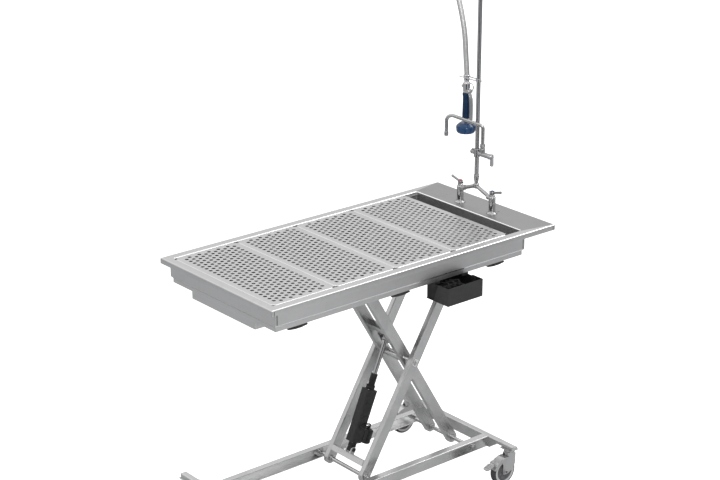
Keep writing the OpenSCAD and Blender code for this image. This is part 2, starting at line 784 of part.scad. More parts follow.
module actuator_frame() {
    translate([clevis_x, 0, clevis_z]) rotate([0, -actuator_angle, 0]) children();
}
module actuator_housing() {
    x0 = clevis_block;
    x1 = clevis_block + housing_l;
    color(black_c) actuator_frame() {
        difference() {
            union() {
                bar_y(eye_r, -eye_w / 2, eye_w / 2);
                block(0, x0, -eye_w / 2, eye_w / 2, -eye_r, eye_r);
                bar_x(gland_r, x1, x1 + gland_l);
                bar_x(tube_d / 2, x1, tube_end);
                difference() {
                    hull() for (y = [-1, 1]) for (z = [-1, 1])
                        translate([0, y * (housing_w / 2 - housing_r), z * (housing_d / 2 - housing_r)])
                            bar_x(housing_r, x0, x1);
                    block(x0 - cut, x1 + cut, -seam_w / 2, seam_w / 2, housing_d / 2 - seam_d, housing_d);
                    for (i = [0:rib_n - 1])
                        translate([x0 + housing_l * (i + 1) / (rib_n + 1), 0, 0]) both_sides()
                            block(-seam_w / 2, seam_w / 2, housing_w / 2 - seam_d, housing_w,
                                -housing_d / 4, housing_d / 4);
                }
            }
            bar_x(tube_bore_r, rod_start - rod_travel, tube_end + cut);
        }
        color(zinc_c) both_sides() {
            bar_y(clevis_pin_d / 2, eye_w / 2, lug_gap / 2 + lug_t + side_gap);
            bar_y(pin_head_r, lug_gap / 2 + lug_t + side_gap, lug_gap / 2 + lug_t + side_gap + pin_head_t);
        }
    }
}

// Gear motor on the lower side of the housing
module actuator_motor() {
    color(black_c) actuator_frame() translate([motor_x, 0, -housing_d / 2 - motor_out]) difference() {
        union() {
            block(0, motor_l, -motor_r, motor_r, motor_out - motor_r, motor_out);
            translate([0, 0, motor_out - motor_r]) bar_x(motor_r, 0, motor_l);
            translate([0, 0, motor_out - motor_r]) bar_x(motor_r - seam_w, -motor_cap, motor_l + motor_cap);
        }
        translate([0, 0, motor_out - motor_r]) for (x = [motor_l / 4, motor_l * 3 / 4]) difference() {
            bar_x(motor_r + cut, x, x + seam_w);
            bar_x(motor_r - seam_d, x - cut, x + seam_w + cut);
            block(x - cut, x + seam_w + cut, -motor_r - cut, motor_r + cut, 0, motor_r + cut);
        }
    }
}

// Steel rod with an eye and its pin between the ears of the inner cross bar
module actuator_rod() {
    pin_l = ear_gap / 2 - side_gap;
    actuator_frame() {
        color(chrome_c) bar_x(rod_d / 2, rod_start, actuator_l - eye_r / 2);
        color(zinc_c) translate([actuator_l, 0, 0]) difference() {
            union() {
                bar_y(eye_r, -rod_eye_w / 2, rod_eye_w / 2);
                bar_x(gland_r - rail_t, -eye_r - rod_nut_l, -eye_r / 2);
                bar_y(clevis_pin_d / 2, -pin_l, pin_l);
            }
            bar_x(rod_d / 2, -eye_r - rod_nut_l - cut, -eye_r / 2);
        }
    }
}

// Base rails between the two cross members
base_x0 = cross_left_x + cross_w / 2;
base_x1 = cross_right_x - cross_w / 2;

module base_rail_back() {
    color(steel_c) rail(base_x0, base_x1, rail_top - rail_h, pivot_low_z);
}
module base_rail_front() {
    color(steel_c) mirror([0, 1, 0]) rail(base_x0, base_x1, rail_top - rail_h, pivot_low_z);
}

// Cross members: folded channels, deep between the rails and shallow over the casters
taper_in = 12;
taper_l = 48;

module cross_member(x) {
    deep = rail_y + taper_in;
    color(steel_c) translate([x, 0, 0]) difference() {
        plate_yz(-cross_w / 2, cross_w / 2) polygon([
            [-cross_l / 2, rail_top], [cross_l / 2, rail_top], [cross_l / 2, rail_top - end_lip],
            [deep + taper_l, rail_top - end_lip], [deep, rail_top - rail_h],
            [-deep, rail_top - rail_h], [-deep - taper_l, rail_top - end_lip],
            [-cross_l / 2, rail_top - end_lip],
        ]);
        block(-cross_w / 2 + rail_t, cross_w / 2 - rail_t, -cross_l / 2 + rail_t, cross_l / 2 - rail_t,
            rail_top - rail_h - cut, rail_top - rail_t);
    }
}
module cross_member_left() {
    cross_member(cross_left_x);
}
module cross_member_right() {
    cross_member(cross_right_x);
}

// Place of a caster: 1 and 2 at the right end trail to the left, 3 and 4 at the left end to the right
module at_caster(i) {
    x = i <= 2 ? cross_right_x : cross_left_x;
    y = i % 2 == 1 ? -caster_y : caster_y;
    translate([x, y, 0]) mirror([i <= 2 ? 0 : 1, 0, 0]) children();
}
wheel_z = wheel_d / 2;
hood_gap = 3;
hood_t = 3.5;
hood_in_r = wheel_z + hood_gap;
hood_r = hood_in_r + hood_t;
fork_gap = 1.5;
cheek_t = 2.5;
fork_y = wheel_w / 2 + fork_gap + cheek_t;
plate_l = 50;
plate_w = 64;
plate_t = 4;
plate_screw_r = 5;
plate_screw_h = 2.5;
plate_screw_in = 9;
plate_z = caster_h - plate_t;
kingpin_r = 8;
kingpin_l = 20;
raceway_r = 24;
raceway_h = 15;
groove_r = 22;
groove_h = 3;
crown_r = 20;
axle_bolt_r = 6;
axle_head_af = 17;
axle_head_h = 6;
boss_r = 12;

// Mounting plates with the kingpins on which the forks swivel
module caster_plates() {
    color(zinc_c) for (i = [1:4]) at_caster(i) {
        block(-plate_l / 2, plate_l / 2, -plate_w / 2, plate_w / 2, plate_z, caster_h);
        bar_z(kingpin_r, plate_z - kingpin_l, plate_z);
        for (y = [-1, 1]) for (x = [-1, 1])
            translate([x * (plate_l / 2 - plate_screw_in / 2 - plate_screw_r / 2), y * (plate_w / 2 - plate_screw_in), 0])
                bar_z(plate_screw_r, plate_z - plate_screw_h, plate_z);
    }
}

// Hooded fork, its outline as shares of the hood's radius round the wheel axle
fork_shares = [
    [-1.02, 0.18], [-1.02, 1.05], [0.92, 1.05], [0.86, 0.46], [0.62, 0.14], [0.2, -0.2],
    [-0.18, -0.2], [-0.4, 0.02], [-0.72, 0.12],
];
pedal_x = -56;
pedal_z = 52;
pedal_lug_r = 9;
pedal_lug_y = 12;
pedal_lug_t = 4;
pedal_lug_l = 12;
pedal_pin_r = 3;

module fork(braked) {
    crown_z = wheel_z + hood_r / 2;
    color(zinc_c) difference() {
        union() {
            difference() {
                union() {
                    translate([-caster_trail, 0, wheel_z]) intersection() {
                        bar_y(hood_r, -fork_y, fork_y);
                        plate_xz(-fork_y, fork_y) polygon([for (p = fork_shares) p * hood_r]);
                    }
                    bar_z(crown_r, crown_z, plate_z - raceway_h);
                    bar_z(raceway_r, plate_z - raceway_h, plate_z - raceway_h / 2 - groove_h / 2);
                    bar_z(groove_r, plate_z - raceway_h, plate_z - seat_gap);
                    bar_z(raceway_r, plate_z - raceway_h / 2 + groove_h / 2, plate_z - seat_gap);
                    if (braked) translate([-caster_trail, 0, wheel_z]) both_sides() {
                        translate([pedal_x, 0, pedal_z])
                            bar_y(pedal_lug_r, pedal_lug_y, pedal_lug_y + pedal_lug_t);
                        translate([pedal_x, 0, pedal_z]) rotate([0, -atan2(pedal_z, pedal_x), 0])
                            block(-pedal_lug_l, 0, pedal_lug_y + cut / 2, pedal_lug_y + pedal_lug_t - cut / 2,
                                -pedal_lug_r + 2 * cut, pedal_lug_r - 2 * cut);
                    }
                }
                translate([-caster_trail, 0, wheel_z]) bar_y(hood_in_r, -fork_y + cheek_t, fork_y - cheek_t);
            }
            translate([-caster_trail, 0, wheel_z]) both_sides() {
                bar_y(boss_r, wheel_w / 2 + seat_gap, fork_y - cheek_t);
                hex_y(axle_head_af, fork_y, fork_y + axle_head_h);
            }
            translate([-caster_trail, 0, wheel_z]) bar_y(axle_bolt_r, -fork_y, fork_y);
            if (braked) translate([pedal_x - caster_trail, 0, wheel_z + pedal_z])
                bar_y(pedal_pin_r, -pedal_lug_y - pedal_lug_t - cut, pedal_lug_y + pedal_lug_t + cut);
        }
        bar_z(kingpin_r + run_gap, plate_z - kingpin_l - side_gap, plate_z + cut);
    }
}
module caster_fork_1() {
    at_caster(1) fork(true);
}
module caster_fork_2() {
    at_caster(2) fork(true);
}
module caster_fork_3() {
    at_caster(3) fork(false);
}
module caster_fork_4() {
    at_caster(4) fork(false);
}

// Wheel: a tyre with rounded shoulders on a rim, a recessed web and a hub
rim_r = 48;
rim_lap = 1;
tyre_edge = 3;
tyre_round = 6;
rim_wall = 6;
hub_r = 15;
web_half = 7;
web_slope = 4;

module wheel() {
    h = wheel_w / 2;
    translate([-caster_trail, 0, wheel_z]) rotate([quarter_turn, 0, 0]) {
        color(tyre_c) rotate_extrude() polygon([
            [rim_r - rim_lap, -h + rim_lap], [wheel_z - tyre_round, -h], [wheel_z - tyre_edge / 2, -h + tyre_edge],
            [wheel_z, -h + tyre_round + tyre_edge], [wheel_z, h - tyre_round - tyre_edge],
            [wheel_z - tyre_edge / 2, h - tyre_edge], [wheel_z - tyre_round, h], [rim_r - rim_lap, h - rim_lap],
        ]);
        color(nylon_c) rotate_extrude() polygon([
            [axle_bolt_r + run_gap, -h], [hub_r, -h], [hub_r + web_slope / 2, -web_half],
            [rim_r - rim_wall - web_slope, -web_half], [rim_r - rim_wall, -h + 2 * rim_lap], [rim_r, -h + 2 * rim_lap],
            [rim_r, h - 2 * rim_lap], [rim_r - rim_wall, h - 2 * rim_lap], [rim_r - rim_wall - web_slope, web_half],
            [hub_r + web_slope / 2, web_half], [hub_r, h], [axle_bolt_r + run_gap, h],
        ]);
    }
}
module caster_wheel_1() {
    at_caster(1) wheel();
}
module caster_wheel_2() {
    at_caster(2) wheel();
}
module caster_wheel_3() {
    at_caster(3) wheel();
}
module caster_wheel_4() {
    at_caster(4) wheel();
}

// Brake pedal: a ribbed tread on a hub between the lugs of the fork
pedal_l = 54;
pedal_w = 36;
pedal_t = 4;
pedal_tilt = 20;
pedal_hub_r = 6;
pedal_neck = 12;
pedal_rib_h = 2;
pedal_rib_w = 3;
pedal_rib_n = 4;

module brake_pedal() {
    color(zinc_c) translate([pedal_x - caster_trail, 0, wheel_z + pedal_z]) mirror([1, 0, 0])
        rotate([0, pedal_tilt, 0]) difference() {
            union() {
                bar_y(pedal_hub_r, -pedal_lug_y + seat_gap, pedal_lug_y - seat_gap);
                block(0, pedal_neck, -pedal_lug_y + seat_gap, pedal_lug_y - seat_gap, -pedal_t / 2, pedal_t / 2);
                block(pedal_neck, pedal_l - pedal_w / 4, -pedal_w / 2, pedal_w / 2, -pedal_t / 2, pedal_t / 2);
                block(pedal_l - pedal_w / 4 - cut, pedal_l, -pedal_w / 3, pedal_w / 3, -pedal_t / 2, pedal_t / 2);
                for (i = [0:pedal_rib_n - 1])
                    translate([pedal_neck + pedal_rib_w + i * 2 * pedal_rib_w, 0, 0])
                        block(0, pedal_rib_w, -pedal_w / 2 + pedal_rib_w, pedal_w / 2 - pedal_rib_w,
                            pedal_t / 2, pedal_t / 2 + pedal_rib_h);
            }
            bar_y(pedal_pin_r + run_gap, -pedal_lug_y - cut, pedal_lug_y + cut);
        }
}
module brake_pedal_1() {
    at_caster(1) brake_pedal();
}
module brake_pedal_2() {
    at_caster(2) brake_pedal();
}

// Control box: an open tray hung from the band, with its power supply inside
box_drop = 6;
box_z1 = band_top - band_h - box_drop;
box_z0 = box_z1 - box_h;
flap_top = 62;
flap_foot = 92;
bracket_front = 40;
hanger_l = 30;
hanger_h = 4;

module box_frame() {
    translate([box_x - box_l / 2, -box_front, box_z0]) children();
}
module control_box() {
    color(black_c) box_frame() {
        block(0, box_l, 0, box_w, 0, box_t);
        block(0, box_l, 0, box_t, 0, box_h);
        for (x = [0, box_l - box_t]) translate([x, 0, 0]) plate_yz(0, box_t)
            polygon([[0, 0], [flap_foot, 0], [flap_top, box_h], [0, box_h]]);
        for (x = [box_t, box_l - 2 * box_t]) translate([x, 0, 0])
            block(0, box_t, bracket_front, box_w, 0, box_h - box_t);
        block(box_t, box_l - box_t, box_w - box_t, box_w, 0, box_h - box_t);
        for (x = [box_t, box_l - box_t - hanger_l]) translate([x, box_reach, 0])
            block(0, hanger_l, 0, band_w, box_h - box_t - hanger_h, box_h + box_drop);
    }
}
supply_l = 118;
supply_w = 96;
supply_h = 52;
supply_in = 12;
supply_edge = 5;
plug_r = 9;
plug_h = 10;
plug_n = 3;

module power_supply() {
    color(black_c) box_frame() translate([box_t + supply_in, box_t + supply_in, box_t]) {
        difference() {
            block(0, supply_l, 0, supply_w, 0, supply_h);
            for (y = [0, supply_w]) translate([0, y, supply_h]) rotate([quarter_turn / 2, 0, 0])
                block(-cut, supply_l + cut, -supply_edge, supply_edge, -supply_edge, supply_edge);
        }
        for (i = [0:plug_n - 1]) translate([supply_l * (i + 1) / (plug_n + 1), supply_w / 3, 0])
            bar_z(plug_r, supply_h, supply_h + plug_h);
        block(supply_l / 5, supply_l - supply_l / 5, supply_w / 2, supply_w / 2 + supply_in,
            supply_h, supply_h + plug_h / 2);
    }
}

// Faucet: heights are above the deck and places are from the middle of the riser
module faucet_frame() {
    translate([faucet_x, faucet_y, deck_z]) children();
}
module cold_side() {
    faucet_frame() translate([0, -valve_span / 2, 0]) children();
}
module hot_side() {
    faucet_frame() mirror([0, 1, 0]) translate([0, -valve_span / 2, 0]) children();
}
tee_z = 62;
hub_z = 100;
yoke_angle = atan2(hub_z - tee_z, valve_span / 2);
yoke_l = norm([hub_z - tee_z, valve_span / 2]);
valve_flange_r = 24;
valve_flange_h = 5;
valve_r = 11;
tee_r = 15;
tee_half = 14;
tee_edge = 3;
stub_r = 11;
stub_l = 18;
bonnet_r = 12.5;
bonnet_h = 5;
bonnet_af = 21;
bonnet_top = 86;
stem_r = 4;
stem_l = 11;
shank_r = 10.5;
shank_l = 62;
lock_r = 17;
lock_h = 8;
inlet_bore_r = 5;

module valve() {
    color(chrome_c) difference() {
        union() {
            rotate_extrude() polygon([
                [0, 0], [valve_flange_r, 0], [valve_flange_r, valve_flange_h / 2], [valve_r + tee_edge, valve_flange_h],
                [valve_r, valve_flange_h + tee_edge], [valve_r, tee_z - tee_half - tee_edge],
                [tee_r, tee_z - tee_half], [tee_r, tee_z + tee_half - tee_edge],
                [tee_r - tee_edge, tee_z + tee_half], [bonnet_r, tee_z + tee_half],
                [bonnet_r, tee_z + tee_half + bonnet_h], [0, tee_z + tee_half + bonnet_h],
            ]);
            translate([0, 0, tee_z]) rotate([yoke_angle, 0, 0]) bar_y(stub_r, 0, stub_l);
            hex_z(bonnet_af, tee_z + tee_half + bonnet_h, bonnet_top);
            bar_z(stem_r, bonnet_top, bonnet_top + stem_l);
            bar_z(shank_r, -shank_l, 0);
        }
        bar_z(inlet_bore_r, -shank_l - cut, -sheet_t - lock_h);
    }
    color(zinc_c) tube_z(lock_r, shank_r, -sheet_t - lock_h, -sheet_t);
}
module hot_valve() {
    hot_side() valve();
}
module cold_valve() {
    cold_side() valve();
}

// Lever handles with a ball end, pointing away from the riser
lever_hub_r = 11;
lever_hub_h = 13;
lever_rise = 15;
lever_l = 58;
lever_r = 4.5;
lever_ball_r = 5.5;
lever_tail = 18;
index_r = 8;
index_h = 3;

module lever(index_c) {
    z = bonnet_top + side_gap;
    color(chrome_c) difference() {
        union() {
            bar_z(lever_hub_r, z, z + lever_hub_h);
            translate([0, 0, z + lever_hub_h / 2]) rotate([-lever_rise, 0, 0]) {
                bar_y(lever_r, -lever_l + lever_ball_r, 0);
                translate([0, lever_ball_r - lever_l, 0]) sphere(lever_ball_r);
            }
            translate([0, 0, z + lever_hub_h / 2]) bar_y(lever_r, 0, lever_tail);
        }
        bar_z(stem_r + run_gap, z - cut, bonnet_top + stem_l + side_gap);
    }
    color(index_c) bar_z(index_r, z + lever_hub_h, z + lever_hub_h + index_h);
}
module hot_lever() {
    hot_side() lever([0.62, 0.08, 0.14]);
}
module cold_lever() {
    cold_side() lever([0.16, 0.24, 0.40]);
}

// Yoke that joins both valves under the riser
yoke_r = 7.5;
yoke_hub_r = 13;
yoke_hub_half = 12;
yoke_nut_af = 24;
yoke_nut_l = 12;

module faucet_yoke() {
    color(chrome_c) faucet_frame() {
        rotate_extrude() polygon([
            [0, hub_z - yoke_hub_half], [yoke_hub_r - tee_edge, hub_z - yoke_hub_half],
            [yoke_hub_r, hub_z - yoke_hub_half + tee_edge], [yoke_hub_r, hub_z + yoke_hub_half - tee_edge],
            [yoke_hub_r - tee_edge, hub_z + yoke_hub_half], [0, hub_z + yoke_hub_half],
        ]);
        both_sides() translate([0, -valve_span / 2, tee_z]) rotate([yoke_angle, 0, 0]) {
            hex_y(yoke_nut_af, stub_l, stub_l + yoke_nut_l);
            bar_y(yoke_r, stub_l + yoke_nut_l - cut, yoke_l);
        }
    }
}

// Conical coupling, riser pipe and its top nut
coupling_z0 = hub_z + yoke_hub_half;
coupling_z1 = 150;
coupling_r0 = 8;
coupling_r1 = 12.5;
coupling_band = 9;
riser_r = riser_d / 2;
riser_wall = 1.6;
top_nut_h = 20;
top_nut_af = 26;
top_flange_r = spring_d / 2 + cut;
top_flange_h = 4;

module riser_coupling() {
    color(chrome_c) faucet_frame() rotate_extrude() polygon([
        [0, coupling_z0], [coupling_r0, coupling_z0], [coupling_r0, coupling_z0 + tee_edge],
        [coupling_r1, coupling_z1 - coupling_band], [coupling_r1, coupling_z1 - cut],
        [coupling_r1 - cut, coupling_z1], [0, coupling_z1],
    ]);
}
module riser_pipe() {
    color(chrome_c) faucet_frame() difference() {
        union() {
            bar_z(riser_r, coupling_z1, riser_top - top_flange_h);
            hex_z(top_nut_af, riser_top - top_nut_h, riser_top - top_flange_h);
            bar_z(top_flange_r, riser_top - top_flange_h, riser_top);
        }
        bar_z(riser_r - riser_wall, coupling_z1 - cut, riser_top - top_flange_h);
    }
}

// Add-on faucet on the riser, with the boss of the swing nozzle and the seat of its lever
addon_r = 10;
addon_sleeve_r = 14;
addon_sleeve_half = 18;
addon_front = 75;
addon_back = 35;
addon_nut_l = 8;
addon_nut_af = 22;
addon_screw_r = 4;
addon_screw_h = 4;
addon_screw_in = 8;
boss_y = -34;
boss_out_r = 11;
boss_top = 33.5;
boss_bore_r = 6;
boss_bore_l = 13;
nut_l = 12;
nut_af = 20;
seat_l = 15;
seat_r = 4;

module add_on_faucet() {
    color(chrome_c) faucet_frame() translate([0, 0, addon_h]) difference() {
        union() {
            bar_z(addon_sleeve_r, -addon_sleeve_half, addon_sleeve_half);
            bar_y(addon_r, -addon_front, addon_back);
            bar_y(addon_r + cut, addon_back - addon_nut_l, addon_back - addon_nut_l / 2);
            hex_y(addon_nut_af, -addon_front - addon_nut_l, -addon_front);
            translate([0, boss_y, 0]) bar_z(boss_out_r, 0, boss_top);
            translate([0, addon_back - addon_screw_in, 0]) bar_z(addon_screw_r, 0, addon_r + addon_screw_h);
        }
        bar_z(riser_r + run_gap, -addon_sleeve_half - cut, addon_sleeve_half + cut);
        translate([0, boss_y, 0]) bar_z(boss_bore_r + run_gap, boss_top - boss_bore_l, boss_top + cut);
        bar_y(seat_r + run_gap, -addon_front - addon_nut_l - cut, -addon_front - addon_nut_l + seat_l);
    }
}

// Swing nozzle: a bent tube in one upright plane, turned away from the riser
nozzle_turn = 30;
nozzle_slope = 14;
nozzle_bend = 16;
nozzle_drop_bend = 26;
nozzle_tip = 319;
aerator_r = 9;
aerator_l = 20;
aerator_bore_r = 4.5;

// Beads where a straight run of the nozzle meets a bend, each run ending just inside its bead
joint_half = 0.4;
joint_r = nozzle_d / 2 + run_gap * 4;
deg = half_turn / PI;

module swing_nozzle() {
    r = nozzle_d / 2;
    base_z = addon_h + boss_top + side_gap;
    cut1 = nozzle_bend * tan((quarter_turn - nozzle_slope) / 2);
    cut2 = nozzle_drop_bend * tan((quarter_turn + nozzle_slope) / 2);
    end_z = nozzle_h + nozzle_reach * tan(nozzle_slope) - cut2;
    color(chrome_c) faucet_frame() translate([0, boss_y, 0]) rotate([0, 0, nozzle_turn]) difference() {
        union() {
            bar_z(boss_bore_r, base_z - side_gap - boss_bore_l + side_gap, base_z);
            hex_z(nut_af, base_z, base_z + nut_l);
            bar_z(r, base_z + nut_l, nozzle_h - cut1 - joint_half);
            translate([0, nozzle_bend, nozzle_h - cut1]) arc_yz(nozzle_bend, r,
                quarter_turn + nozzle_slope + joint_half * deg / nozzle_bend,
                half_turn - joint_half * deg / nozzle_bend);
            translate([0, 0, nozzle_h]) rotate([nozzle_slope, 0, 0]) {
                bar_y(r, cut1 + joint_half, nozzle_reach / cos(nozzle_slope) - cut2 - joint_half);
                for (y = [cut1, nozzle_reach / cos(nozzle_slope) - cut2]) translate([0, y, 0]) sphere(joint_r);
            }
            for (p = [[0, nozzle_h - cut1], [nozzle_reach, end_z]]) translate([0, p[0], p[1]]) sphere(joint_r);
            translate([0, nozzle_reach - nozzle_drop_bend, end_z]) arc_yz(nozzle_drop_bend, r,
                joint_half * deg / nozzle_drop_bend,
                quarter_turn + nozzle_slope - joint_half * deg / nozzle_drop_bend);
            translate([0, nozzle_reach, 0]) {
                bar_z(r, nozzle_tip + aerator_l, end_z - joint_half);
                bar_z(aerator_r, nozzle_tip, nozzle_tip + aerator_l);
            }
        }
        translate([0, nozzle_reach, 0]) bar_z(aerator_bore_r, nozzle_tip - cut, nozzle_tip + aerator_l / 2);
    }
}

// Lever of the add-on faucet on its front end
tap_hub_r = 11;
tap_hub_l = 13;
tap_up = 14;
tap_down = 38;
tap_w = 12;
tap_t = 9;

module nozzle_lever() {
    y = -addon_front - addon_nut_l - side_gap;
    color(chrome_c) faucet_frame() translate([0, 0, addon_h]) {
        bar_y(seat_r, y, y + seat_l - side_gap);
        bar_y(tap_hub_r, y - tap_hub_l, y);
        block(-tap_w / 2, tap_w / 2, y - tap_hub_l, y - tap_hub_l + tap_t, -tap_down + tap_w / 2, tap_up - tap_w / 2);
        translate([0, 0, tap_up - tap_w / 2]) bar_y(tap_w / 2, y - tap_hub_l, y - tap_hub_l + tap_t);
        translate([0, 0, -tap_down + tap_w / 2]) bar_y(tap_w / 2, y - tap_hub_l, y - tap_hub_l + tap_t);
    }
}

// Hook on the riser: a clamped collar and a wire fork that carries the spray by its ferrule
spray_y = 74;
valve_top = 570;
wire_r = 2.5;
ferrule_h = 7;
ferrule_lip_r = 14.5;
ferrule_lip_h = 6;
hook_z = valve_top + ferrule_h - wire_r;
hook_collar_r = 13;
hook_collar_half = 10;
hook_bar = 7;
hook_past = 30;
hook_tip_r = 3.5;
hook_screw_r = 3;
hook_screw_l = 17;
prong_x = hose_d / 2 + wire_r + 2 * side_gap;
ferrule_r = prong_x - wire_r - seat_gap;

module hose_hook() {
    color(chrome_c) faucet_frame() translate([0, 0, hook_z]) difference() {
        union() {
            bar_z(hook_collar_r, -hook_collar_half, hook_collar_half);
            block(-prong_x, prong_x, 0, hook_collar_r + hook_bar / 2, -wire_r, wire_r);
            for (x = [-prong_x, prong_x]) translate([x, 0, 0]) {
                bar_y(wire_r, 0, spray_y + hook_past);
                translate([0, spray_y + hook_past, 0]) sphere(hook_tip_r);
            }
            bar_y(hook_screw_r, -hook_screw_l, 0);
        }
        bar_z(riser_r + run_gap, -hook_collar_half - cut, hook_collar_half + cut);
    }
}

// Hose and overhead spring: both rise from the riser and turn over in one loop
loop_r = 85;
loop_foot = 55;
loop_down = 27;
hose_route = [
    [170, 1010], [155, 958], [132, 900], [112, 840], [97, 785], [88, 730], [82, 665], [77, 620], [74, 590],
];
hose_step = 18;
arc_steps = 15;
span_steps = 3;
loop_arc = loop_r * PI;
loop_top = riser_top + loop_foot;
hose_sides = tube_fn;

// Middle line of the loop at a length u from the top of the riser, and its direction
function loop_a(u) = min(max((u - loop_foot) / loop_r * half_turn / PI, 0), half_turn);
function loop_c(u) = [
    0, loop_r * (1 - cos(loop_a(u))),
    riser_top + min(u, loop_foot) + loop_r * sin(loop_a(u)) - max(u - loop_foot - loop_arc, 0),
];
function loop_n(u) = [0, -cos(loop_a(u)), sin(loop_a(u))];

// Smooth curve through four neighbouring route points at a share t of the middle span
function smooth(a, b, c, d, t) =
    (2 * b + (c - a) * t + (2 * a - 5 * b + 4 * c - d) * t * t + (3 * b - a - 3 * c + d) * t * t * t) / 2;
route_start = [2 * loop_r, loop_top];
route_end = [spray_y, valve_top + ferrule_h];
route_all = concat([route_start + [0, loop_down], route_start], hose_route, [route_end, route_end - [0, loop_down]]);
hose_line = concat(
    [for (u = [0:hose_step:loop_foot - hose_step / 2]) loop_c(u)],
    [for (i = [0:arc_steps]) loop_c(loop_foot + loop_arc * i / arc_steps)],
    [for (i = [1:len(route_all) - 3]) for (s = [1:span_steps])
        let (p = smooth(route_all[i - 1], route_all[i], route_all[i + 1], route_all[i + 2], s / span_steps))
            [0, p[0], p[1]]]
);

function unit(v) = v / norm(v);
function line_dir(l, i) = unit(l[min(i + 1, len(l) - 1)] - l[max(i - 1, 0)]);

// Rings round a line and the triangles that join them, for one closed tube
function ring(c, e1, e2, r, sides) =
    [for (k = [0:sides - 1]) c + r * (cos(k * 2 * half_turn / sides) * e1 + sin(k * 2 * half_turn / sides) * e2)];
function tube_faces(n, s) = concat(
    [for (i = [0:n - 2]) for (k = [0:s - 1]) [i * s + k, (i + 1) * s + (k + 1) % s, i * s + (k + 1) % s]],
    [for (i = [0:n - 2]) for (k = [0:s - 1]) [i * s + k, (i + 1) * s + k, (i + 1) * s + (k + 1) % s]],
    [for (k = [1:s - 2]) [0, k, k + 1]],
    [for (k = [1:s - 2]) [(n - 1) * s, (n - 1) * s + k + 1, (n - 1) * s + k]]
);

module spray_hose() {
    points = [for (i = [0:len(hose_line) - 1])
        let (t = i == 0 ? [0, 0, 1] : i == len(hose_line) - 1 ? [0, 0, -1] : line_dir(hose_line, i))
            each ring(hose_line[i], [1, 0, 0], cross(t, [1, 0, 0]), hose_d / 2, hose_sides)];
    color(hose_c) faucet_frame() {
        polyhedron(points, tube_faces(len(hose_line), hose_sides));
        translate([0, 2 * loop_r, loop_top - loop_down - ferrule_h]) difference() {
            bar_z(top_flange_r, 0, ferrule_h);
            bar_z(hose_d / 2 - cut, -cut, ferrule_h + cut);
        }
        translate([0, spray_y, valve_top]) {
            bar_z(ferrule_r, 0, ferrule_h + cut);
            bar_z(ferrule_lip_r, ferrule_h, ferrule_h + ferrule_lip_h);
        }
    }
}

// Overhead spring: one wire wound round the hose, both ends standing square on their seats
wire_sides = 6;
turn_rings = 8;
spring_bend = spring_wire;
coil_r = spring_d / 2 - spring_wire / 2;
spring_u0 = spring_wire + spring_bend;
spring_u1 = loop_foot + loop_arc + loop_down - spring_wire - spring_bend;
bend_steps = 3;

function coil_e(u, a) = [sin(a), 0, 0] + cos(a) * loop_n(u);
function coil_u(i) = spring_u0 + (spring_u1 - spring_u0) * i / (spring_turns * turn_rings);
function coil_a(i) = i * 2 * half_turn / turn_rings;
coil_start = loop_c(spring_u0) + coil_r * loop_n(spring_u0);
coil_end = loop_c(spring_u1) + coil_r * loop_n(spring_u1);
spring_line = concat(
    [coil_start + [-spring_bend, 0, -spring_bend - spring_wire]],
    [for (k = [0:bend_steps - 1]) let (a = k * quarter_turn / bend_steps)
        coil_start + [-spring_bend * cos(a), 0, spring_bend * (sin(a) - 1)]],
    [for (i = [0:spring_turns * turn_rings]) loop_c(coil_u(i)) + coil_r * coil_e(coil_u(i), coil_a(i))],
    [for (k = [1:bend_steps]) let (a = k * quarter_turn / bend_steps)
        coil_end + [spring_bend * sin(a), 0, spring_bend * (cos(a) - 1)]],
    [coil_end + [spring_bend, 0, -spring_bend - spring_wire]]
);
spring_rings = len(spring_line);
ends = bend_steps + 1;
function spring_out(i) =
    i < ends ? loop_n(spring_u0)
    : i >= spring_rings - ends ? loop_n(spring_u1)
    : coil_e(coil_u(i - ends), coil_a(i - ends));
function spring_t(i) = i == 0 ? [0, 0, 1] : i == spring_rings - 1 ? [0, 0, -1] : line_dir(spring_line, i);

// Least gap between neighbouring turns, measured from point to point one turn apart and nearby
spring_gap = min([for (i = [ends:spring_rings - ends - 1 - turn_rings - 1])
    min([for (k = [-1:1]) norm(spring_line[i + turn_rings + k] - spring_line[i])])]) - spring_wire;
echo(least_spring_gap = spring_gap);

module overhead_spring() {
    points = [for (i = [0:spring_rings - 1])
        let (t = spring_t(i), e2 = unit(cross(t, spring_out(i))), e1 = cross(e2, t))
            each ring(spring_line[i], e1, e2, spring_wire / 2, wire_sides)];
    color(chrome_c) faucet_frame() polyhedron(points, tube_faces(spring_rings, wire_sides));
}

// Spray: valve head, grip, squeeze lever and bumper round the spray face
head_r = 13;
neck_r = 11;
neck_waist_r = 8.5;
head_z0 = 505;
head_z1 = 546;
neck_z1 = 562;
waist_z = 556;
knob_z = 533;
knob_r = 9;
knob_out = 24;
loop_y = -25;
keeper_r = 12.5;
keeper_wire = 2.2;
trigger_y = -21;
trigger_z = 514;
trigger_lug_t = 3.5;
trigger_lug_h = 7;
trigger_lug_in = 4;
trigger_lug_out = 5;
trigger_w = 16;
trigger_t = 3;
trigger_l = 126;
trigger_tilt = 1.5;
trigger_hub_r = 5;
trigger_pin_r = 2.5;
grip_z0 = 388;
grip_r0 = 14.5;
grip_r1 = 11.5;
grip_flange_r = 13.5;
grip_flange_h = 6;
grip_round = 3;
stalk_r = 8;
bumper_r = 38.5;
bumper_top_r = 20;
bumper_foot_r = 33;
bumper_z0 = 317;
bumper_z1 = 372;
face_r = 24;
face_in = 5;
bumper_wide_share = 0.6;

